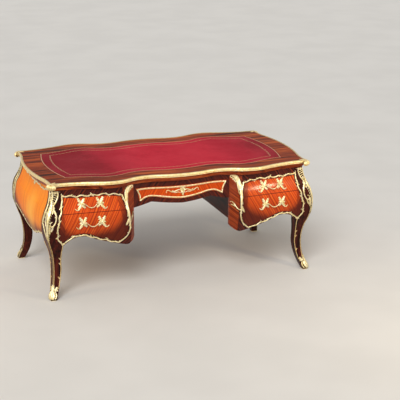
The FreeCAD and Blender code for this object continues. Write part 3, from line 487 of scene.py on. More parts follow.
def openTree(name, **sockets):
    # a node group whose paths have become a curve with its normals along their "out" attribute
    tree = bpy.data.node_groups.new(name, "GeometryNodeTree")
    for label, kind in {"Paths": "Geometry", **sockets, "Finish": "Material"}.items():
        tree.interface.new_socket(label, in_out="INPUT", socket_type="NodeSocket" + kind)
    tree.interface.new_socket("Mount", in_out="OUTPUT", socket_type="NodeSocketGeometry")
    given = addNode(tree, "NodeGroupInput").outputs
    out = addNode(tree, "GeometryNodeInputNamedAttribute", "out", data_type="FLOAT_VECTOR")
    curve = addNode(tree, "GeometryNodeSetCurveNormal", addNode(tree, "GeometryNodeMeshToCurve", given["Paths"]),
                    {"Normal": out}, mode="FREE")
    return tree, given, curve


def closeTree(tree, given, mesh):
    mesh = addNode(tree, "GeometryNodeRealizeInstances", mesh)
    mesh = addNode(tree, "GeometryNodeSetShadeSmooth", mesh)
    mesh = addNode(tree, "GeometryNodeSetMaterial", mesh, {"Material": given["Finish"]})
    addNode(tree, "NodeGroupOutput", mesh)
    return tree


def sweepTree():
    # strokes of half round section, whose relief and number of sides are inputs
    tree, given, curve = openTree("chasedStrokes", Relief="Float", Sides="Int")
    ring = addNode(tree, "GeometryNodeCurvePrimitiveCircle", given["Sides"], {"Radius": 1.0})
    outwards = addNode(tree, "parts", addNode(tree, "GeometryNodeInputPosition")).outputs[0]
    ring = addNode(tree, "GeometryNodeStoreNamedAttribute", ring, {"Name": "rise", "Value": outwards},
                   data_type="FLOAT", domain="POINT")
    scale = addNode(tree, "ShaderNodeCombineXYZ", given["Relief"], 1.0, 1.0)
    ring = addNode(tree, "GeometryNodeTransform", ring, {"Scale": scale})
    width = addNode(tree, "GeometryNodeInputNamedAttribute", "halfWidth", data_type="FLOAT")
    mesh = addNode(tree, "GeometryNodeCurveToMesh", curve, {"Profile Curve": ring, "Scale": width, "Fill Caps": True})
    return closeTree(tree, given, mesh)


leafyLook = {"smallest": 0.6, "largest": 1.3, "leastLean": 0.45, "mostLean": 0.95}  # sizes as shares, leans in radians


def leafyTree():
    # small leaves that spring from a bead to both sides, as on a cast frieze moulding
    tree, given, curve = openTree("leafyMoulding", Leaf="Object", Spacing="Float", Seed="Int")
    spots = addNode(tree, "GeometryNodeCurveToPoints", curve, {"Length": given["Spacing"]}, mode="LENGTH")
    sized = addNode(tree, "FunctionNodeRandomValue", leafyLook["smallest"], leafyLook["largest"],
                    {"Seed": given["Seed"]}, data_type="FLOAT")
    flip = addNode(tree, "FunctionNodeRandomValue", 0, 1, {"Seed": 11}, data_type="INT")
    lean = addNode(tree, "FunctionNodeRandomValue", leafyLook["leastLean"], leafyLook["mostLean"], {"Seed": 5},
                   data_type="FLOAT")
    angle = ("MULTIPLY", lean, ("SUBTRACT", ("MULTIPLY", flip, 2.0), 1.0))
    upright = addNode(tree, "FunctionNodeAlignRotationToVector", {"Vector": spots.outputs["Normal"]}, axis="Z")
    along = addNode(tree, "FunctionNodeAlignRotationToVector",
                    {"Rotation": upright, "Vector": spots.outputs["Tangent"]}, axis="X", pivot_axis="Z")
    swing = addNode(tree, "FunctionNodeAxisAngleToRotation", (0, 0, 1), angle)
    turned = addNode(tree, "FunctionNodeRotateRotation", along, swing, rotation_space="LOCAL")
    grown = addNode(tree, "ShaderNodeCombineXYZ", sized, sized, sized)
    small = addNode(tree, "GeometryNodeObjectInfo", given["Leaf"]).outputs["Geometry"]
    leaves = addNode(tree, "GeometryNodeInstanceOnPoints", spots.outputs["Points"],
                     {"Instance": small, "Rotation": turned, "Scale": grown})
    return closeTree(tree, given, leaves)


def ropeTree():
    # three strands laid round a path: a lobed section that turns as it goes
    tree, given, curve = openTree("ropeMoulding", Radius="Float", Lay="Float")
    way = addNode(tree, "GeometryNodeSplineParameter").outputs["Length"]
    tilt = ("MULTIPLY", ("DIVIDE", way, given["Lay"]), 2 * math.pi)
    curve = addNode(tree, "GeometryNodeSetCurveTilt", curve, {"Tilt": tilt})
    star = addNode(tree, "GeometryNodeCurveStar", 3, 0.62, 1.1)
    star = addNode(tree, "GeometryNodeSubdivideCurve", star, 1)
    mesh = addNode(tree, "GeometryNodeCurveToMesh", curve,
                   {"Profile Curve": star, "Scale": given["Radius"], "Fill Caps": True})
    return closeTree(tree, given, mesh)


trees = {"strokes": sweepTree(), "leafy": leafyTree(), "rope": ropeTree()}


def grow(cast, tree, finish="fireGiltBronze", **values):
    # runs a tree over a cast's paths and returns the plain mesh
    mesh = newMesh("paths", cast["points"], cast["edges"], [], halfWidth=cast["width"])
    out = mesh.attributes.new("out", "FLOAT_VECTOR", "POINT")
    out.data.foreach_set("vector", [c for n in cast["out"] for c in n])
    holder = addObject("paths", mesh)
    modifier = holder.modifiers.new("grow", "NODES")
    modifier.node_group = trees[tree]
    values["Finish"] = finishes[finish]
    for socket in trees[tree].interface.items_tree:
        if socket.in_out == "INPUT" and socket.name in values:
            modifier[socket.identifier] = values[socket.name]
    graph = bpy.context.evaluated_depsgraph_get()
    grown = bpy.data.meshes.new_from_object(holder.evaluated_get(graph))
    bpy.data.objects.remove(holder)
    return grown


def castMount(cast, finish="fireGiltBronze", relief=0.75, bladeRelief=0.26):
    # a whole mount: raised strokes over the blades of its leaves
    meshes = [grow(cast, "strokes", finish, Relief=relief, Sides=8)]
    if cast["blades"]["points"]:
        meshes.append(grow(cast["blades"], "strokes", finish, Relief=bladeRelief, Sides=8))
    return meshes


def settle(name, meshes, replaced=(), body="carcass", finish="fireGiltBronze"):
    # the finished piece: one mesh that rides on its body
    spots, faces, smooth, rise = [], [], [], []
    for mesh in meshes:
        base = len(spots)
        ridges = mesh.attributes.get("rise")
        rise += [v.value for v in ridges.data] if ridges else [1.0] * len(mesh.vertices)
        spots += [tuple(v.co) for v in mesh.vertices]
        faces += [[base + i for i in p.vertices] for p in mesh.polygons]
        smooth += [p.use_smooth for p in mesh.polygons]
    joined = newMesh(name, spots, [], faces, rise=rise)
    joined.polygons.foreach_set("use_smooth", smooth)
    joined.materials.append(finishes[finish])
    piece = addObject(name, joined)
    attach(piece, body)
    if replaced:
        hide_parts(*replaced)


smallLeafLook = {"length": 0.014, "width": 0.007, "rise": 0.0035, "root": -0.0005}


def smallLeaf():
    # one pointed leaf with a raised rib, along +X and lying on Z = 0
    spots, faces = [], []
    for share, half in ((0.0, 0.25), (0.3, 1.0), (0.65, 0.8), (1.0, 0.0)):
        x, y = share * smallLeafLook["length"], half * smallLeafLook["width"] / 2
        spots += [(x, -y, smallLeafLook["root"]), (x, 0, smallLeafLook["rise"] * (1 - share * 0.6)),
                  (x, y, smallLeafLook["root"])]
    for a in (0, 3, 6):
        faces += [(a, a + 3, a + 4, a + 1), (a + 1, a + 4, a + 5, a + 2), (a + 2, a + 5, a + 3, a)]
    faces.append((0, 1, 2))
    mesh = newMesh("smallLeaf", spots, [], faces)
    mesh.polygons.foreach_set("use_smooth", [True] * len(faces))
    mesh.validate()
    return addObject("smallLeaf", mesh)


leafObject = smallLeaf()
carcassFront = ("face_frames", "legs", "inner_corners", "left_upper_drawer_front", "left_lower_drawer_front",
                "right_upper_drawer_front", "right_lower_drawer_front", "back_panels")
print("mount tools ready")

topLook = {"mouldingHalfHeight": 0.0111, "mouldingDepth": 0.82, "mouldingHeight": 0.7688, "lip": 0.0030,
           "lowerBead": 0.0022, "lowerBeadFoot": 0.7575, "lowerBeadInset": 0.004, "outerLine": 0.0030,
           "innerLine": 0.0014, "innerLineInset": 0.070, "outerLineInset": 0.007, "doubleLineGap": 0.006,
           "leatherHeight": 0.7787}


def outlineOf(node, z):
    # evenly spaced points round a node at a height, found from outside, with their outward directions
    skin, hits, rays = skinOf(node), [], 1800
    longer, start = 1.76, 2.6  # the top's length over its width, and how far out the rays start
    for k in range(rays):
        a = 2 * math.pi * k / rays
        way = Vector((math.cos(a) * longer, math.sin(a), 0)).normalized()
        hit = castRay(skin, way * start + Vector((0, 0, z)), -way)
        if hit:
            hits.append(hit[0])
    steps = [(hits[(i + 1) % len(hits)] - hits[i]).length for i in range(len(hits))]
    length = sum(steps)
    count = int(length / longStep)
    ring, travelled, i = [], 0.0, 0
    for k in range(count):
        wanted = length * k / count
        while travelled + steps[i] < wanted:
            travelled += steps[i]
            i += 1
        ring.append(hits[i].lerp(hits[(i + 1) % len(hits)], (wanted - travelled) / max(steps[i], 1e-9)))
    ways = [ring[(k + 1) % count] - ring[k - 1] for k in range(count)]
    return [(p, Vector((way.y, -way.x, 0)).normalized()) for p, way in zip(ring, ways)]


def insetRing(ring, inset, z):
    # the outline moved inwards, without the loops that its corners would make: their points lie nearer to it
    nearest = inset * 0.985
    flat = [(p.x, p.y) for p, _ in ring]
    moved = [(p.x - n.x * inset, p.y - n.y * inset) for p, n in ring]
    kept = [m for m in moved if min(math.dist(m, f) for f in flat) > nearest]
    return [(Vector((x, y, z)), upwards) for x, y in kept]


def letDown(node):
    # a merged copy of a node, its upper face a little below the moulding's lip
    mesh = frame["nodes"][node].data.copy()
    work = bmesh.new()
    work.from_mesh(mesh)
    bmesh.ops.remove_doubles(work, verts=work.verts, dist=1e-6)
    for v in work.verts:
        if v.co.z > fullHeight - topLook["lip"]:
            v.co.z -= topLook["lip"]
    for f in work.faces:
        f.smooth = False
    work.to_mesh(mesh)
    work.free()
    return [mesh]


settle("veneered_top", letDown("top_board"), ["top_board"], finish="topSlicedRosewood")
settle("leather_inset", letDown("top_leather"), ["top_leather"], finish="crimsonDyedLeather")
edgeRing = outlineOf("top_edge_moulding", topLook["mouldingHeight"])
half, foot = topLook["mouldingHalfHeight"], topLook["lowerBeadFoot"] + topLook["lowerBead"]
moulding, lower, tooling = newCast(), newCast(), newCast()
addPath(moulding, [(p - n * half * topLook["mouldingDepth"], n) for p, n in edgeRing], [half], closed=True)
addPath(lower, [(Vector((p.x, p.y, foot)) - n * topLook["lowerBeadInset"], n) for p, n in edgeRing],
        [topLook["lowerBead"]], closed=True)
settle("edge_moulding", [grow(moulding, "strokes", "burnishedGiltBronze", Relief=topLook["mouldingDepth"], Sides=14),
                         grow(lower, "strokes", "burnishedGiltBronze", Relief=1.0, Sides=14)],
       ["top_edge_moulding"], finish="burnishedGiltBronze")

# the tooled lines lie in the leather's face; the inner pair has points at its corners
leatherRing = outlineOf("top_leather", topLook["leatherHeight"])
inner = topLook["innerLineInset"]
for inset, width in ((topLook["outerLineInset"], topLook["outerLine"]), (inner, topLook["innerLine"]),
                     (inner - topLook["doubleLineGap"], topLook["innerLine"] * 0.6)):
    addPath(tooling, insetRing(leatherRing, inset, fullHeight - topLook["lip"]), [width], closed=True)
settle("leather_tooling", [grow(tooling, "strokes", "tooledGoldLeaf", Relief=0.12, Sides=6)], finish="tooledGoldLeaf")

# corner clasps: a ribbed shell at each corner, leaves that run out along the moulding, leaves over the top
claspLook = {"shellAlong": 0.034, "shellOut": 0.025, "shellUp": 0.0200, "shellHeight": 0.7570, "ribs": 9,
             "ribWidth": 0.0058, "leafLength": 0.075, "leafWidth": 0.021, "leafHeight": 0.7685, "lapLength": 0.054,
             "lapWidth": 0.034, "lapBase": 0.7758, "coreWidth": 0.024, "seatReach": 0.0085, "seatHalfHeight": 0.0118,
             "seatInset": 0.0105, "seatBulge": 0.0088, "seatTilt": 60}
clasps, laps = newCast(), newCast()


def alongEdge(corner):
    def layEdge(along, up):
        # along the moulding from a corner and up its rounded face
        place = along / longStep
        k = math.floor(place)
        p, n = edgeRing[(corner + k) % len(edgeRing)]
        q, m = edgeRing[(corner + k + 1) % len(edgeRing)]
        normal = n.lerp(m, place - k).normalized()
        up = max(-claspLook["seatReach"], min(claspLook["seatReach"], up))
        bulge = math.sqrt(1 - (up / claspLook["seatHalfHeight"]) ** 2)
        inset = claspLook["seatInset"] - claspLook["seatBulge"] * bulge
        spot = p.lerp(q, place - k)
        spot = Vector((spot.x, spot.y, claspLook["leafHeight"] + up)) - normal * inset
        return spot, (normal + upwards * up * claspLook["seatTilt"]).normalized()
    return layEdge


def layTop(u, v):
    return Vector((u, v, claspLook["lapBase"])), upwards


for sx, sy in product((-1, 1), repeat=2):
    corner = max(range(len(edgeRing)), key=lambda k: edgeRing[k][0].x * sx * 0.6 + edgeRing[k][0].y * sy)
    point = edgeRing[corner][0]
    out = Vector((sx * 0.72, sy * 0.69, 0)).normalized()
    along = Vector((-out.y, out.x, 0))
    root = Vector((point.x, point.y, claspLook["shellHeight"])) - out * 0.010
    for k in range(claspLook["ribs"]):
        swing = math.radians(-80 + 160 * k / (claspLook["ribs"] - 1))
        rib = []
        for j in range(13):
            lift = math.radians(-78 + 156 * j / 12)
            level, up = math.cos(lift), math.sin(lift)
            aside, ahead = math.sin(swing) * level, math.cos(swing) * level
            spot = (root + along * claspLook["shellAlong"] * aside + out * claspLook["shellOut"] * ahead
                    + upwards * claspLook["shellUp"] * up)
            rib.append((spot, (along * aside + out * ahead + upwards * up).normalized()))
        addPath(clasps, rib, times(claspLook["ribWidth"], 0.25, 0.8, 1, 0.8, 0.25))
    # a solid core behind the ribs
    core = [(root + upwards * claspLook["shellUp"] * share, out) for share in (-0.88, -0.7, -0.4, 0, 0.4, 0.7, 0.88)]
    addPath(clasps, core, times(claspLook["coreWidth"], 0.2, 0.65, 0.9, 1, 0.9, 0.65, 0.2))
    for start, heading in ((0.012, 0), (-0.012, 180)):
        leaf(clasps, alongEdge(corner), (start, 0.0), heading, claspLook["leafLength"], claspLook["leafWidth"], 0, 5)
    inwards = math.degrees(math.atan2(-out.y, -out.x))
    for swing, share in ((0, 1.0), (48, 0.8), (-48, 0.8)):
        leaf(laps, layTop, (point.x - out.x * 0.006, point.y - out.y * 0.006), inwards + swing,
             claspLook["lapLength"] * share, claspLook["lapWidth"] * share, 0, 4)
shells, lapLeaves = castMount(clasps, "burnishedGiltBronze", 0.6), castMount(laps, "burnishedGiltBronze", 0.4, 0.28)
settle("corner_clasps", shells + lapLeaves, ["top_corner_clasps"], finish="burnishedGiltBronze")
print("top dressed")

# frames round the drawer pairs and the mock drawers behind, as shares of the half length and the height
frameLook = {"bead": 0.0047, "wave": 0.0035, "waveLength": 0.072, "leafSpacing": 0.019, "seed": 7}
frameSides = {
    "bottom": [(0.4862, 0.4564), (0.5700, 0.4880), (0.6500, 0.5200), (0.7450, 0.5560), (0.8230, 0.5350),
               (0.8520, 0.5070), (0.8777, 0.4769)],
    "outer": [(0.8777, 0.4769), (0.9110, 0.5400), (0.9130, 0.6200), (0.8968, 0.7103), (0.8750, 0.8000),
              (0.8670, 0.8846)],
    "top": [(0.8670, 0.8846), (0.7700, 0.8765), (0.6600, 0.8755), (0.5500, 0.8755), (0.4521, 0.8600)],
    "inner": [(0.4521, 0.8600), (0.4330, 0.7950), (0.4210, 0.7100), (0.4120, 0.6300), (0.4130, 0.5650),
              (0.4400, 0.5020), (0.4862, 0.4564)],
}
frameWaves = {"bottom": 1.0, "outer": 0.8, "top": 1.2, "inner": 0.25}
frameBeads = (1.0, 1.25, 0.8, 1.3, 0.85, 1.25, 0.8, 1.2, 1.0)


def wavy(points, amount, length):
    # a line that snakes about the given one, less in its first and last eighth
    line = smoothLine(points, longStep)
    travelled, result = 0.0, []
    for k, (u, v, t) in enumerate(line):
        a, b = line[max(k - 1, 0)], line[min(k + 1, len(line) - 1)]
        du, dv = b[0] - a[0], b[1] - a[1]
        size = math.hypot(du, dv) or 1.0
        if k:
            travelled += math.hypot(u - line[k - 1][0], v - line[k - 1][1])
        push = amount * math.sin(2 * math.pi * travelled / length) * min(1.0, 8 * t, 8 * (1 - t))
        result.append((u - dv / size * push, v + du / size * push))
    return result


frames, frameLeaves = newCast(), newCast()
for side, face in product((-1, 1), repeat=2):
    lay = onFront(skinOf(*carcassFront), face, side)
    for name, shares in frameSides.items():
        points = [(a * halfLength, b * fullHeight) for a, b in shares]
        line = wavy(points, frameLook["wave"] * frameWaves[name], frameLook["waveLength"])
        stroke(frames, lay, line, times(frameLook["bead"], *frameBeads), 0.0008, longStep)
        stroke(frameLeaves, lay, line, [frameLook["bead"]], 0.0, longStep)
        # pairs of larger leaves where the scrolls of the frame meet
        for share in () if name == "inner" else (0.22, 0.5, 0.78):
            k = int(share * (len(line) - 1))
            (u, v), ahead = line[k], line[min(k + 3, len(line) - 1)]
            way = math.degrees(math.atan2(ahead[1] - v, ahead[0] - u))
            leaf(frames, lay, (u, v), way + 38, 0.020, 0.012, 20, 2)
            leaf(frames, lay, (u, v), way + 180 + 38, 0.017, 0.011, 20, 2)
    # curls where the sides meet
    for (u, v), start, turns in ((frameSides["outer"][0], -30, 0.7), (frameSides["outer"][-1], 60, -0.6)):
        scroll(frames, lay, (u * halfLength - 0.006, v * fullHeight + 0.006), 0.010, start, turns, [0.0035, 0.002])
leafMesh = grow(frameLeaves, "leafy", Leaf=leafObject, Spacing=frameLook["leafSpacing"], Seed=frameLook["seed"])
settle("drawer_frames", castMount(frames) + [leafMesh], ["frame_mounts"])
print("drawer frames cast")

# acanthus scrolls on the inner corners, with the branch that crosses onto the canted side
scrollLook = {"stem": 0.0058, "branch": 0.0042, "blade": 0.017, "rib": 0.0050}
crown = [(0.352, 0.722, 1), (0.370, 0.713, 1), (0.388, 0.686, 1), (0.398, 0.648, 0.5), (0.397, 0.606, 0)]
mainStem = [(0.345, 0.722), (0.366, 0.716), (0.386, 0.690), (0.397, 0.650), (0.396, 0.600), (0.390, 0.555),
            (0.388, 0.505), (0.391, 0.470)]
secondStem = [(0.352, 0.700), (0.372, 0.690), (0.383, 0.660), (0.389, 0.615), (0.398, 0.560), (0.402, 0.530)]
sideBranch = [(0.390, 0.500), (0.377, 0.497), (0.366, 0.511), (0.357, 0.530), (0.348, 0.541), (0.341, 0.538)]
cornerLeaves = [((0.397, 0.640), 108, 0.085, 0.026, 50, 5), ((0.392, 0.560), 70, 0.060, 0.022, 30, 4),
                ((0.394, 0.520), -75, 0.050, 0.020, 25, 4)]
scrolls = newCast()
for side, face in product((-1, 1), repeat=2):
    lay = onFront(skinOf(*carcassFront, "centre_face_frame", "centre_back_panel"), face, side)
    stem, branch = scrollLook["stem"], scrollLook["branch"]
    for holder, shift, wide, lift in ((scrolls["blades"], 0.0, scrollLook["blade"], 0.001),
                                      (scrolls, -0.010, scrollLook["rib"], 0.003),
                                      (scrolls, 0.0, scrollLook["rib"], 0.003),
                                      (scrolls, 0.010, scrollLook["rib"], 0.003)):
        stroke(holder, lay, [(u + shift * share, v) for u, v, share in crown], times(wide, 0.4, 1, 1.1, 0.8, 0.2),
               lift)
    stroke(scrolls, lay, mainStem, times(stem, 0.6, 1.3, 1.5, 1.1, 0.9, 0.8), 0.001)
    stroke(scrolls, lay, secondStem, times(stem, 0.4, 0.8, 0.7, 0.4))
    for place, heading, length, width, bend, lobes in cornerLeaves:
        leaf(scrolls, lay, place, heading, length, width, bend, lobes)
    scroll(scrolls, lay, (0.350, 0.711), 0.011, 90, 0.8, [0.004, 0.0025])
    stroke(scrolls, lay, sideBranch, times(branch, 1.2, 1, 1.2, 1, 0.6), 0.0005)
    leaf(scrolls, lay, (0.366, 0.511), 150, 0.028, 0.014, 20, 3)
    bead(scrolls, lay, 0.341, 0.537, 0.004)
settle("corner_acanthus", castMount(scrolls), ["corner_scrolls"])
print("corner scrolls cast")

# corner chutes at the knees, lines down the legs and paw shoes
chuteLook = {"rail": 0.0054, "rung": 0.0033, "line": 0.0026, "innerLine": 0.0032}
shoeLook = {"lobe": 0.0140, "bulb": 0.013, "lowest": 0.006, "straightBelow": 0.034, "sole": 0.0035,
            "soleReach": 0.001}
lineInset, arrisLow, arrisStep = 0.004, 0.030, 0.004
chutes, legLines, shoes, soles = newCast(), newCast(), newCast(), []
arris = [legCorner(arrisLow + arrisStep * k, 1, -1) for k in range(175)]


def arrisAt(z):
    # the front right leg's outer arris at a height
    place = min(max((z - arrisLow) / arrisStep, 0), len(arris) - 1.001)
    k = int(place)
    return arris[k].lerp(arris[k + 1], place - k)


def onArris(skin, side, face):
    def layArris(u, z):
        # u runs round the arris, towards the end face when positive
        p = arrisAt(max(z, shoeLook["straightBelow"]))
        way, around = Vector((side, face, 0)).normalized(), Vector((-side, face, 0)).normalized()
        start = Vector((side * p.x, face * -p.y, max(z, shoeLook["lowest"]))) + way * 0.2 + around * u
        hit = castRay(skin, start, -way)
        return None if hit is None else (hit[0], (hit[1] + way).normalized())
    return layArris


def besideArris(lay, sign, reachOf):
    # u runs away from the arris on the front or the end face of a leg
    return lambda u, z: lay(sign * (reachOf(arrisAt(z)) - u), z)


for side, face in product((-1, 1), repeat=2):
    legSkin, shoeSkin = skinOf("legs", "end_panels", "face_frames", "back_panels"), skinOf("legs")
    legFaces = ((onFront(legSkin, face), side, lambda p: p.x), (onEnd(legSkin, side), face, lambda p: -p.y))
    layOnFront, layOnEnd = [besideArris(*legFace) for legFace in legFaces]
    layOnArris, layOnShoe = onArris(legSkin, side, face), onArris(shoeSkin, side, face)
    rail, rung = chuteLook["rail"], chuteLook["rung"]
    for lay, reach in ((layOnFront, 1.0), (layOnEnd, 0.72)):
        # pierced upper part: a rail with rungs, and a shell at the top
        stroke(chutes, lay, [(0.028 * reach, 0.722), (0.034 * reach, 0.700), (0.029 * reach, 0.665),
                             (0.015 * reach, 0.632), (0.008, 0.610)], times(rail, 0.8, 1, 0.9, 0.7))
        for z in (0.712, 0.698, 0.684, 0.670, 0.657, 0.645):
            stroke(chutes, lay, [(0.004, z + 0.005), (0.031 * reach * (1 if z > 0.66 else 0.7), z - 0.006)],
                   times(rung, 1, 0.7))
        for heading in (60, 95, 130):
            leaf(chutes, lay, (0.014 * reach, 0.706), heading, 0.020, 0.010, 0, 2)
        # scroll of the knee, open in the middle
        stroke(chutes, lay, [(0.006, 0.622), (0.030 * reach, 0.604), (0.050 * reach, 0.572), (0.052 * reach, 0.536),
                             (0.036 * reach, 0.508), (0.020 * reach, 0.512), (0.018 * reach, 0.530),
                             (0.028 * reach, 0.538)], times(rail, 1.1, 1.2, 1, 0.9, 0.5), 0.0005)
        bead(chutes, lay, 0.028 * reach, 0.537, 0.0045)
        for u, z, heading, length, width, bend, lobes in (
                (0.010, 0.640, -62, 0.060, 0.024, -40, 4), (0.036 * reach, 0.508, -100, 0.042, 0.016, -25, 4),
                (0.010, 0.520, -82, 0.070, 0.022, -14, 5), (0.046 * reach, 0.560, 75, 0.034, 0.014, 40, 3)):
            leaf(chutes, lay, (u, z), heading, length, width, bend, lobes)
    # broad rail beside the end panel, tied to the spine by short bars
    band = []
    for k in range(30):
        z = 0.722 - 0.0105 * k
        share = 0.72 - 0.08 * math.sin(k * 0.22) if k < 21 else 0.72 - 0.06 * (k - 20)
        band.append(layOnEnd((legCorner(z, 1, 1).y - arrisAt(z).y) * share, z))
    addPath(chutes["blades"], band, times(rail, 1.6, 2.2, 2.0, 2.6, 2.4, 1.8, 0.6))
    addPath(chutes, band, times(rail, 0.5, 0.7, 0.6, 0.8, 0.7, 0.5, 0.3), 0.0016)
    for z in (0.704, 0.682, 0.660, 0.590, 0.560, 0.530):
        width = legCorner(z, 1, 1).y - arrisAt(z).y
        stroke(chutes, layOnEnd, [(0.004, z + 0.004), (width * 0.68, z - 0.005)], times(rung, 1, 0.8))
    # spine over the arris
    stroke(chutes, layOnArris, [(0.0, z) for z in (0.724, 0.68, 0.62, 0.55, 0.48, 0.425)],
           times(rail, 0.9, 1.1, 1.6, 1.9, 1.4, 0.6))
    leaf(chutes, layOnArris, (0.0, 0.66), -90, 0.16, 0.040, 0, 8, 0.001)
    leaf(chutes, layOnArris, (0.0, 0.50), -90, 0.10, 0.028, 0, 6, 0.001)
    # thin lines down the leg, beside the arris and along the two inner edges
    for lay in (layOnFront, layOnEnd):
        stroke(legLines, lay, [(0.0045, z) for z in (0.44, 0.36, 0.28, 0.20, 0.12, 0.075)], [chuteLook["line"]],
               0.0, 0.01)
    for way, (lay, sign, reachOf) in zip((-1, 1), legFaces):
        rows = [lay(sign * (reachOf(legCorner(z, way, way)) + lineInset), z)
                for z in (0.385 - 0.0118 * k for k in range(28))]
        line = chuteLook["innerLine"]
        addPath(legLines, rows, times(line, 1.3, 1, 0.9, 1.1, 0.9, 1, 0.5))
        # the line leaves the edge and curls into the shoe; sprigs where it is broken
        curl = []
        for z, share in ((0.074, 0.10), (0.066, 0.30), (0.062, 0.50), (0.066, 0.68)):
            near, far = reachOf(legCorner(z, way, way)), reachOf(arrisAt(z))
            curl.append(lay(sign * (near + lineInset + (far - near) * share), z))
        addPath(legLines, rows[-1:] + curl, times(line, 1, 0.7))
        for z in (0.262, 0.226, 0.131):
            near = reachOf(legCorner(z, way, way))
            leaf(legLines, lay, (sign * (near + 0.006), z), 90 - sign * 38, 0.018, 0.011, 0, 2)
            bead(legLines, lay, sign * (near + 0.005), z, 0.0042)
    # shoe: a cloven paw under a collar of leaves, on the arris; the wood of the foot shows behind it
    bulb, lobe = shoeLook["bulb"], shoeLook["lobe"]
    stroke(shoes, layOnShoe, [(0.0, z) for z in (0.009, 0.020, 0.036, 0.052, 0.068)],
           times(bulb, 0.70, 1, 0.92, 0.6, 0.3))
    for way in (-1, 1):
        stroke(shoes, layOnShoe, [(way * 0.0100, 0.009), (way * 0.0120, 0.022), (way * 0.0100, 0.040),
                                  (way * 0.0045, 0.058)], times(lobe, 0.50, 0.95, 1, 0.80, 0.4), 0.004, 0.003)
        stroke(shoes, layOnShoe, [(way * 0.024, 0.009), (way * 0.024, 0.030), (way * 0.013, 0.054)],
               times(lobe, 0.30, 0.50, 0.25), 0.0, 0.003)
        leaf(shoes, layOnShoe, (way * 0.010, 0.050), 90 - way * 30, 0.036, 0.020, way * 26, 4, 0.001)
        scroll(shoes, layOnShoe, (way * 0.020, 0.062), 0.007, 270, way * 0.8, [0.003, 0.002])
    leaf(shoes, layOnShoe, (0.0, 0.046), 90, 0.052, 0.026, 0, 6, 0.002)
    stroke(shoes, layOnShoe, [(-0.030, 0.054), (-0.014, 0.060), (0.0, 0.056), (0.014, 0.060), (0.030, 0.054)],
           [0.002, 0.0034, 0.0038, 0.0034, 0.002], 0.002)
    # sole plate under the foot
    foot, rim = arrisAt(arrisLow), []
    middle = Vector((side * (foot.x - 0.026), face * (-foot.y - 0.026), shoeLook["lowest"]))
    for k in range(48):
        way = Vector((math.cos(2 * math.pi * k / 48), math.sin(2 * math.pi * k / 48), 0))
        hit = castRay(shoeSkin, middle + way * 0.3, -way)
        if hit:
            rim.append(hit[0] + way * shoeLook["soleReach"])
    count = len(rim)
    faces = [[k, (k + 1) % count, count + (k + 1) % count, count + k] for k in range(count)]
    faces += [list(range(count, 2 * count)), list(range(count - 1, -1, -1))]
    soles.append(newMesh("sole", [(p.x, p.y, z) for z in (0.0, shoeLook["sole"]) for p in rim], [], faces))
settle("knee_chutes", castMount(chutes), ["leg_knee_mounts"])
# the leg lines take the darker copy of the gilt: painted shade
settle("leg_lines", castMount(legLines, "dulledGiltBronze"), finish="dulledGiltBronze")
settle("paw_shoes", castMount(shoes, relief=0.95) + soles, ["leg_sabots"])
print("chutes, leg lines and shoes cast")

# borders of the end panels: a line along the foot and a garland under the cove
endLook = {"bead": 0.0042, "garland": 0.0058, "leafSpacing": 0.022, "seed": 4}
lowBorder = [(-0.376, 0.433), (-0.29, 0.420), (-0.20, 0.395), (-0.10, 0.363), (0.0, 0.353), (0.10, 0.363),
             (0.20, 0.395), (0.29, 0.420), (0.376, 0.433)]
highBorder = [(-0.32, 0.708), (-0.21, 0.690), (-0.10, 0.694), (0.0, 0.684), (0.10, 0.694), (0.21, 0.690), (0.32, 0.708)]
endMounts, endLeaves = newCast(), newCast()
for side in (-1, 1):
    lay = onEnd(skinOf("end_panels", "legs"), side)
    for border, wave, length, wide, factors in (
            (lowBorder, 0.002, 0.09, endLook["bead"], (1, 1.4, 0.8, 1.5, 0.8, 1.5, 0.8, 1.4, 1)),
            (highBorder, 0.003, 0.08, endLook["garland"], (0.7, 1.2, 0.8, 1.3, 0.8, 1.3, 0.8, 1.2, 0.7))):
        line = wavy(border, wave, length)
        stroke(endMounts, lay, line, times(wide, *factors), 0.0, longStep)
        stroke(endLeaves, lay, line, [wide], 0.0, longStep)
    for y in (-0.235, -0.165, -0.10, -0.04, 0.04, 0.10, 0.165, 0.235):
        leaf(endMounts, lay, (y, 0.690), 0 if y < 0 else 180, 0.040, 0.022, 25 if y < 0 else -25, 4)
    for heading in (-90, -50, -130):
        leaf(endMounts, lay, (0.0, 0.690), heading, 0.030, 0.018, 0, 3)
leafMesh = grow(endLeaves, "leafy", Leaf=leafObject, Spacing=endLook["leafSpacing"], Seed=endLook["seed"])
settle("end_borders", castMount(endMounts) + [leafMesh])
print("end borders cast")

# centre drawer: rope frame and leaf mount, and the same frame on the mock drawer behind
centreLook = {"ropeRadius": 0.0062, "ropeLay": 0.030, "inset": 0.010, "ropeStep": 0.0022}
centreBottom = [(0, 0.7654), (0.1200, 0.7790), (0.1800, 0.7900), (0.2500, 0.7920), (0.3138, 0.7615)]
centreSide = [(0.3200, 0.8200), (0.3404, 0.8846)]


def mirror(points):
    return [(-u, v) for u, v in reversed(points)]


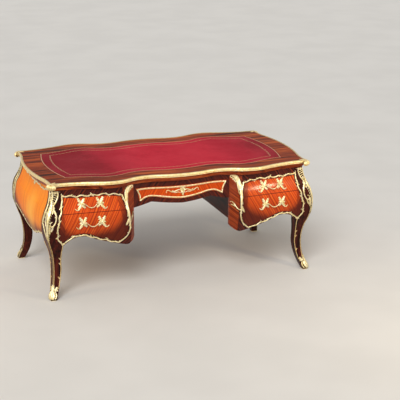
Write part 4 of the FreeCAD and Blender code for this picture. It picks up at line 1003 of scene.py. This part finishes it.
for face, skinName, body, name in ((-1, "centre_drawer_front", "centre_drawer", "centre_drawer_rope"),
                                   (1, "centre_back_panel", "carcass", "centre_back_rope")):
    lay, inset = onFront(skinOf(skinName), face), centreLook["inset"]
    bottom = [(a * halfLength - (inset * 0.8 if a > 0.3 else 0), b * fullHeight + inset) for a, b in centreBottom]
    waist, top = [(a * halfLength - inset, b * fullHeight) for a, b in centreSide]
    top = (top[0], top[1] - inset)
    rightSide, ring = [bottom[-1], waist, top], []
    for points in (mirror(bottom[1:]) + bottom, rightSide, [top, (0.0, top[1]), (-top[0], top[1])], mirror(rightSide)):
        ring += [lay(u, v) for u, v, _ in smoothLine(points, centreLook["ropeStep"])[:-1]]
    rope = newCast()
    addPath(rope, ring, [1.0], 0.0006, True)
    settle(name, [grow(rope, "rope", Radius=centreLook["ropeRadius"], Lay=centreLook["ropeLay"])], body=body)

leafMount = newCast()
lay = onFront(skinOf("centre_drawer_front"), -1)
for heading, length, width in ((90, 0.036, 0.024), (52, 0.028, 0.016), (128, 0.028, 0.016), (-90, 0.034, 0.020),
                               (-38, 0.022, 0.013), (218, 0.022, 0.013)):
    leaf(leafMount, lay, (0.0, 0.650), heading, length, width, 0, 3, 0.0012)
for way in (-1, 1):
    arm = ((0.006, 0.648), (0.024, 0.660), (0.044, 0.655), (0.062, 0.647), (0.082, 0.651), (0.098, 0.661),
           (0.109, 0.658), (0.112, 0.648))
    spur = ((0.020, 0.640), (0.036, 0.645), (0.050, 0.641), (0.062, 0.646))
    stroke(leafMount, lay, [(way * u, v) for u, v in arm], [0.0044, 0.0042, 0.0036, 0.0038, 0.0036, 0.0024], 0.0006)
    stroke(leafMount, lay, [(way * u, v) for u, v in spur], [0.0022, 0.0034, 0.0026], 0.0003)
    leaf(leafMount, lay, (way * 0.060, 0.647), 90 - way * 50, 0.018, 0.011, 0, 2)
    bead(leafMount, lay, way * 0.112, 0.646, 0.0042)
bead(leafMount, lay, 0.0, 0.652, 0.007)
settle("centre_leaf_mount", castMount(leafMount), ["centre_drawer_mount"], body="centre_drawer")
print("centre drawer dressed")

# handles: leafy backplates with posts on the drawers, bails on their own bodies
handleLook = {"postHalfSpan": 0.045, "leafHalfSpan": 0.061, "bailRadius": 0.0026, "sag": 0.018, "bailHalfSpan": 0.033,
              "knob": 0.0070, "upperLean": 24.0, "postShort": 0.0045, "pinShort": 0.0015}
plateLeaves = ((34, 0.046, 0.026, 12), (-34, 0.044, 0.026, -14), (150, 0.042, 0.024, 26), (-142, 0.036, 0.022, -20),
               (84, 0.026, 0.018, -30), (-84, 0.024, 0.018, 20))  # turn from upright, length, width, bend
plateScroll = ((0.012, -0.022), (0.022, -0.034), (0.036, -0.034), (0.045, -0.024))
hinges = {joint["name"]: joint for joint in frame["record"]["behaviour"]["joints"]}
for sideName, level in product(("left", "right"), ("upper", "lower")):
    drawer, bail = sideName + "_" + level + "_drawer", sideName + "_" + level + "_bail"
    pinX, pinY, pinZ = hinges[bail + "_hinge"]["pos_m"]
    lay = onFront(skinOf(drawer + "_front"), -1)
    plates, rod = newCast(), newCast()
    for way in (-1, 1):
        # leaves and a scroll round a knob, and the post beside it
        x, middle = pinX + way * handleLook["postHalfSpan"], pinX + way * handleLook["leafHalfSpan"]
        for turn, length, width, bend in plateLeaves:
            leaf(plates, lay, (middle, pinZ), 90 - way * turn, length, width, bend * way, 3, 0.0008)
        stroke(plates, lay, [(middle + way * u, pinZ + v) for u, v in plateScroll],
               [0.0042, 0.0040, 0.0034, 0.0020], 0.0004)
        bead(plates, lay, middle, pinZ, handleLook["knob"])
        bead(plates, lay, x, pinZ, handleLook["knob"])
        root, tip = lay(x, pinZ)[0], Vector((x, pinY - handleLook["postShort"], pinZ))
        addPath(plates, [(root.lerp(tip, k / 8), upwards) for k in range(9)],
                [0.0065, 0.0042, 0.0036, 0.0036, 0.0042, 0.0052, 0.0055, 0.0048, 0.0012])
    settle(drawer + "_backplates", castMount(plates, relief=0.85, bladeRelief=0.32),
           [sideName + "_" + level + "_handle_plates"], body=drawer)
    # drooping bail, in the plane that leans with the drawer front
    lean = math.radians(handleLook["upperLean"] if level == "upper" else 0.0)
    down, ahead = Vector((0, -math.sin(lean), -math.cos(lean))), Vector((0, -math.cos(lean), math.sin(lean)))
    wide, sag = handleLook["bailHalfSpan"], handleLook["sag"]
    end = handleLook["postHalfSpan"] - handleLook["pinShort"]
    halfShape = [(end, 0), (end - 0.003, 0), (wide + 0.004, 0.0008), (wide, 0.0045), (wide * 0.62, sag * 0.86),
                 (wide * 0.3, sag + 0.0028)]
    shape = [(-u, v) for u, v in halfShape] + [(0, sag + 0.0038)] + halfShape[::-1]
    centre = Vector((pinX, pinY, pinZ))
    spots = [(centre + Vector((u, 0, 0)) + down * v, ahead) for u, v, _ in smoothLine(shape, 0.0025)]
    addPath(rod, spots, times(handleLook["bailRadius"], 0.95, 0.95, 1.1, 0.85, 1, 1.25, 1.7, 1.25, 1, 0.85, 1.1,
                              0.95, 0.95))
    settle(bail + "_cast", [grow(rod, "strokes", Relief=1.0, Sides=10)], [bail], body=bail)
bpy.data.objects.remove(leafObject)
print("handles hung")

studio = {"floorSize": 40.0, "sun": 2.1, "sunSpread": 32.0, "world": 0.50, "background": 0.80, "wall": "#f4f3f1",
          "glare": 20.0, "fill": 14.0, "warmth": "#ffe9c4"}
size = studio["floorSize"]
floorCorners = [(-size, -size, 0), (size, -size, 0), (size, size, 0), (-size, size, 0)]
floor = addObject("floor", newMesh("floor", floorCorners, [], [(0, 1, 2, 3)]))
floor.data.materials.append(finishes["rolledMattPaper"])

# the world lights softly, and shows as a pale wall to the camera, to gloss and through glass
scene.world = bpy.data.worlds.new("studio")
scene.world.use_nodes = True
wall = scene.world.node_tree
wall.nodes.clear()
path = addNode(wall, "ShaderNodeLightPath").outputs
seen = ("MAXIMUM", ("MAXIMUM", path["Is Camera Ray"], path["Is Glossy Ray"]), path["Is Transmission Ray"])
strength = ("ADD", studio["world"], ("MULTIPLY", seen, studio["background"] - studio["world"]))
addNode(wall, "ShaderNodeOutputWorld", addNode(wall, "ShaderNodeBackground", studio["wall"], strength))


def aimed(name, kind, place, target):
    # places a lamp or camera and turns it to what it looks at
    holder = addObject(name, kind)
    holder.location = place
    holder.rotation_euler = (Vector(target) - Vector(place)).to_track_quat("-Z", "Y").to_euler()
    return holder


sun = bpy.data.lights.new("keyLight", "SUN")
sun.energy = studio["sun"]
sun.angle = math.radians(studio["sunSpread"])
aimed("keyLight", sun, (-3.4, -5.2, 5.6), (0, 0, 0.4))
# the first lamp makes the glare on the right drawers
for name, place, target, width, height, power in (
        ("glareLamp", (2.06, -2.80, 1.68), (0.6, -0.5, 0.63), 0.152, 0.38, studio["glare"]),
        ("sideLamp", (-3.6, -0.6, 2.2), (-0.9, 0, 0.5), 0.9, 0.9, studio["fill"])):
    lamp = bpy.data.lights.new(name, "AREA")
    lamp.shape = "ELLIPSE"
    lamp.size, lamp.size_y, lamp.energy = width, height, power
    lamp.color = toLinear(studio["warmth"])[:3]
    aimed(name, lamp, place, target)

view = {"target": (0.281, -0.032, 0.439), "azimuth": -20.477, "elevation": 16.344, "distance": 9.149, "lens": 117.75}
lens = bpy.data.cameras.new("viewer")
lens.lens = view["lens"]
lens.sensor_width = 36.0
turn, rise = math.radians(view["azimuth"]), math.radians(view["elevation"])
away = Vector((math.sin(turn) * math.cos(rise), -math.cos(turn) * math.cos(rise), math.sin(rise)))
viewer = aimed("viewer", lens, Vector(view["target"]) + away * view["distance"], view["target"])
scene.camera = viewer
scene.view_settings.view_transform = "Standard"
print("studio set")
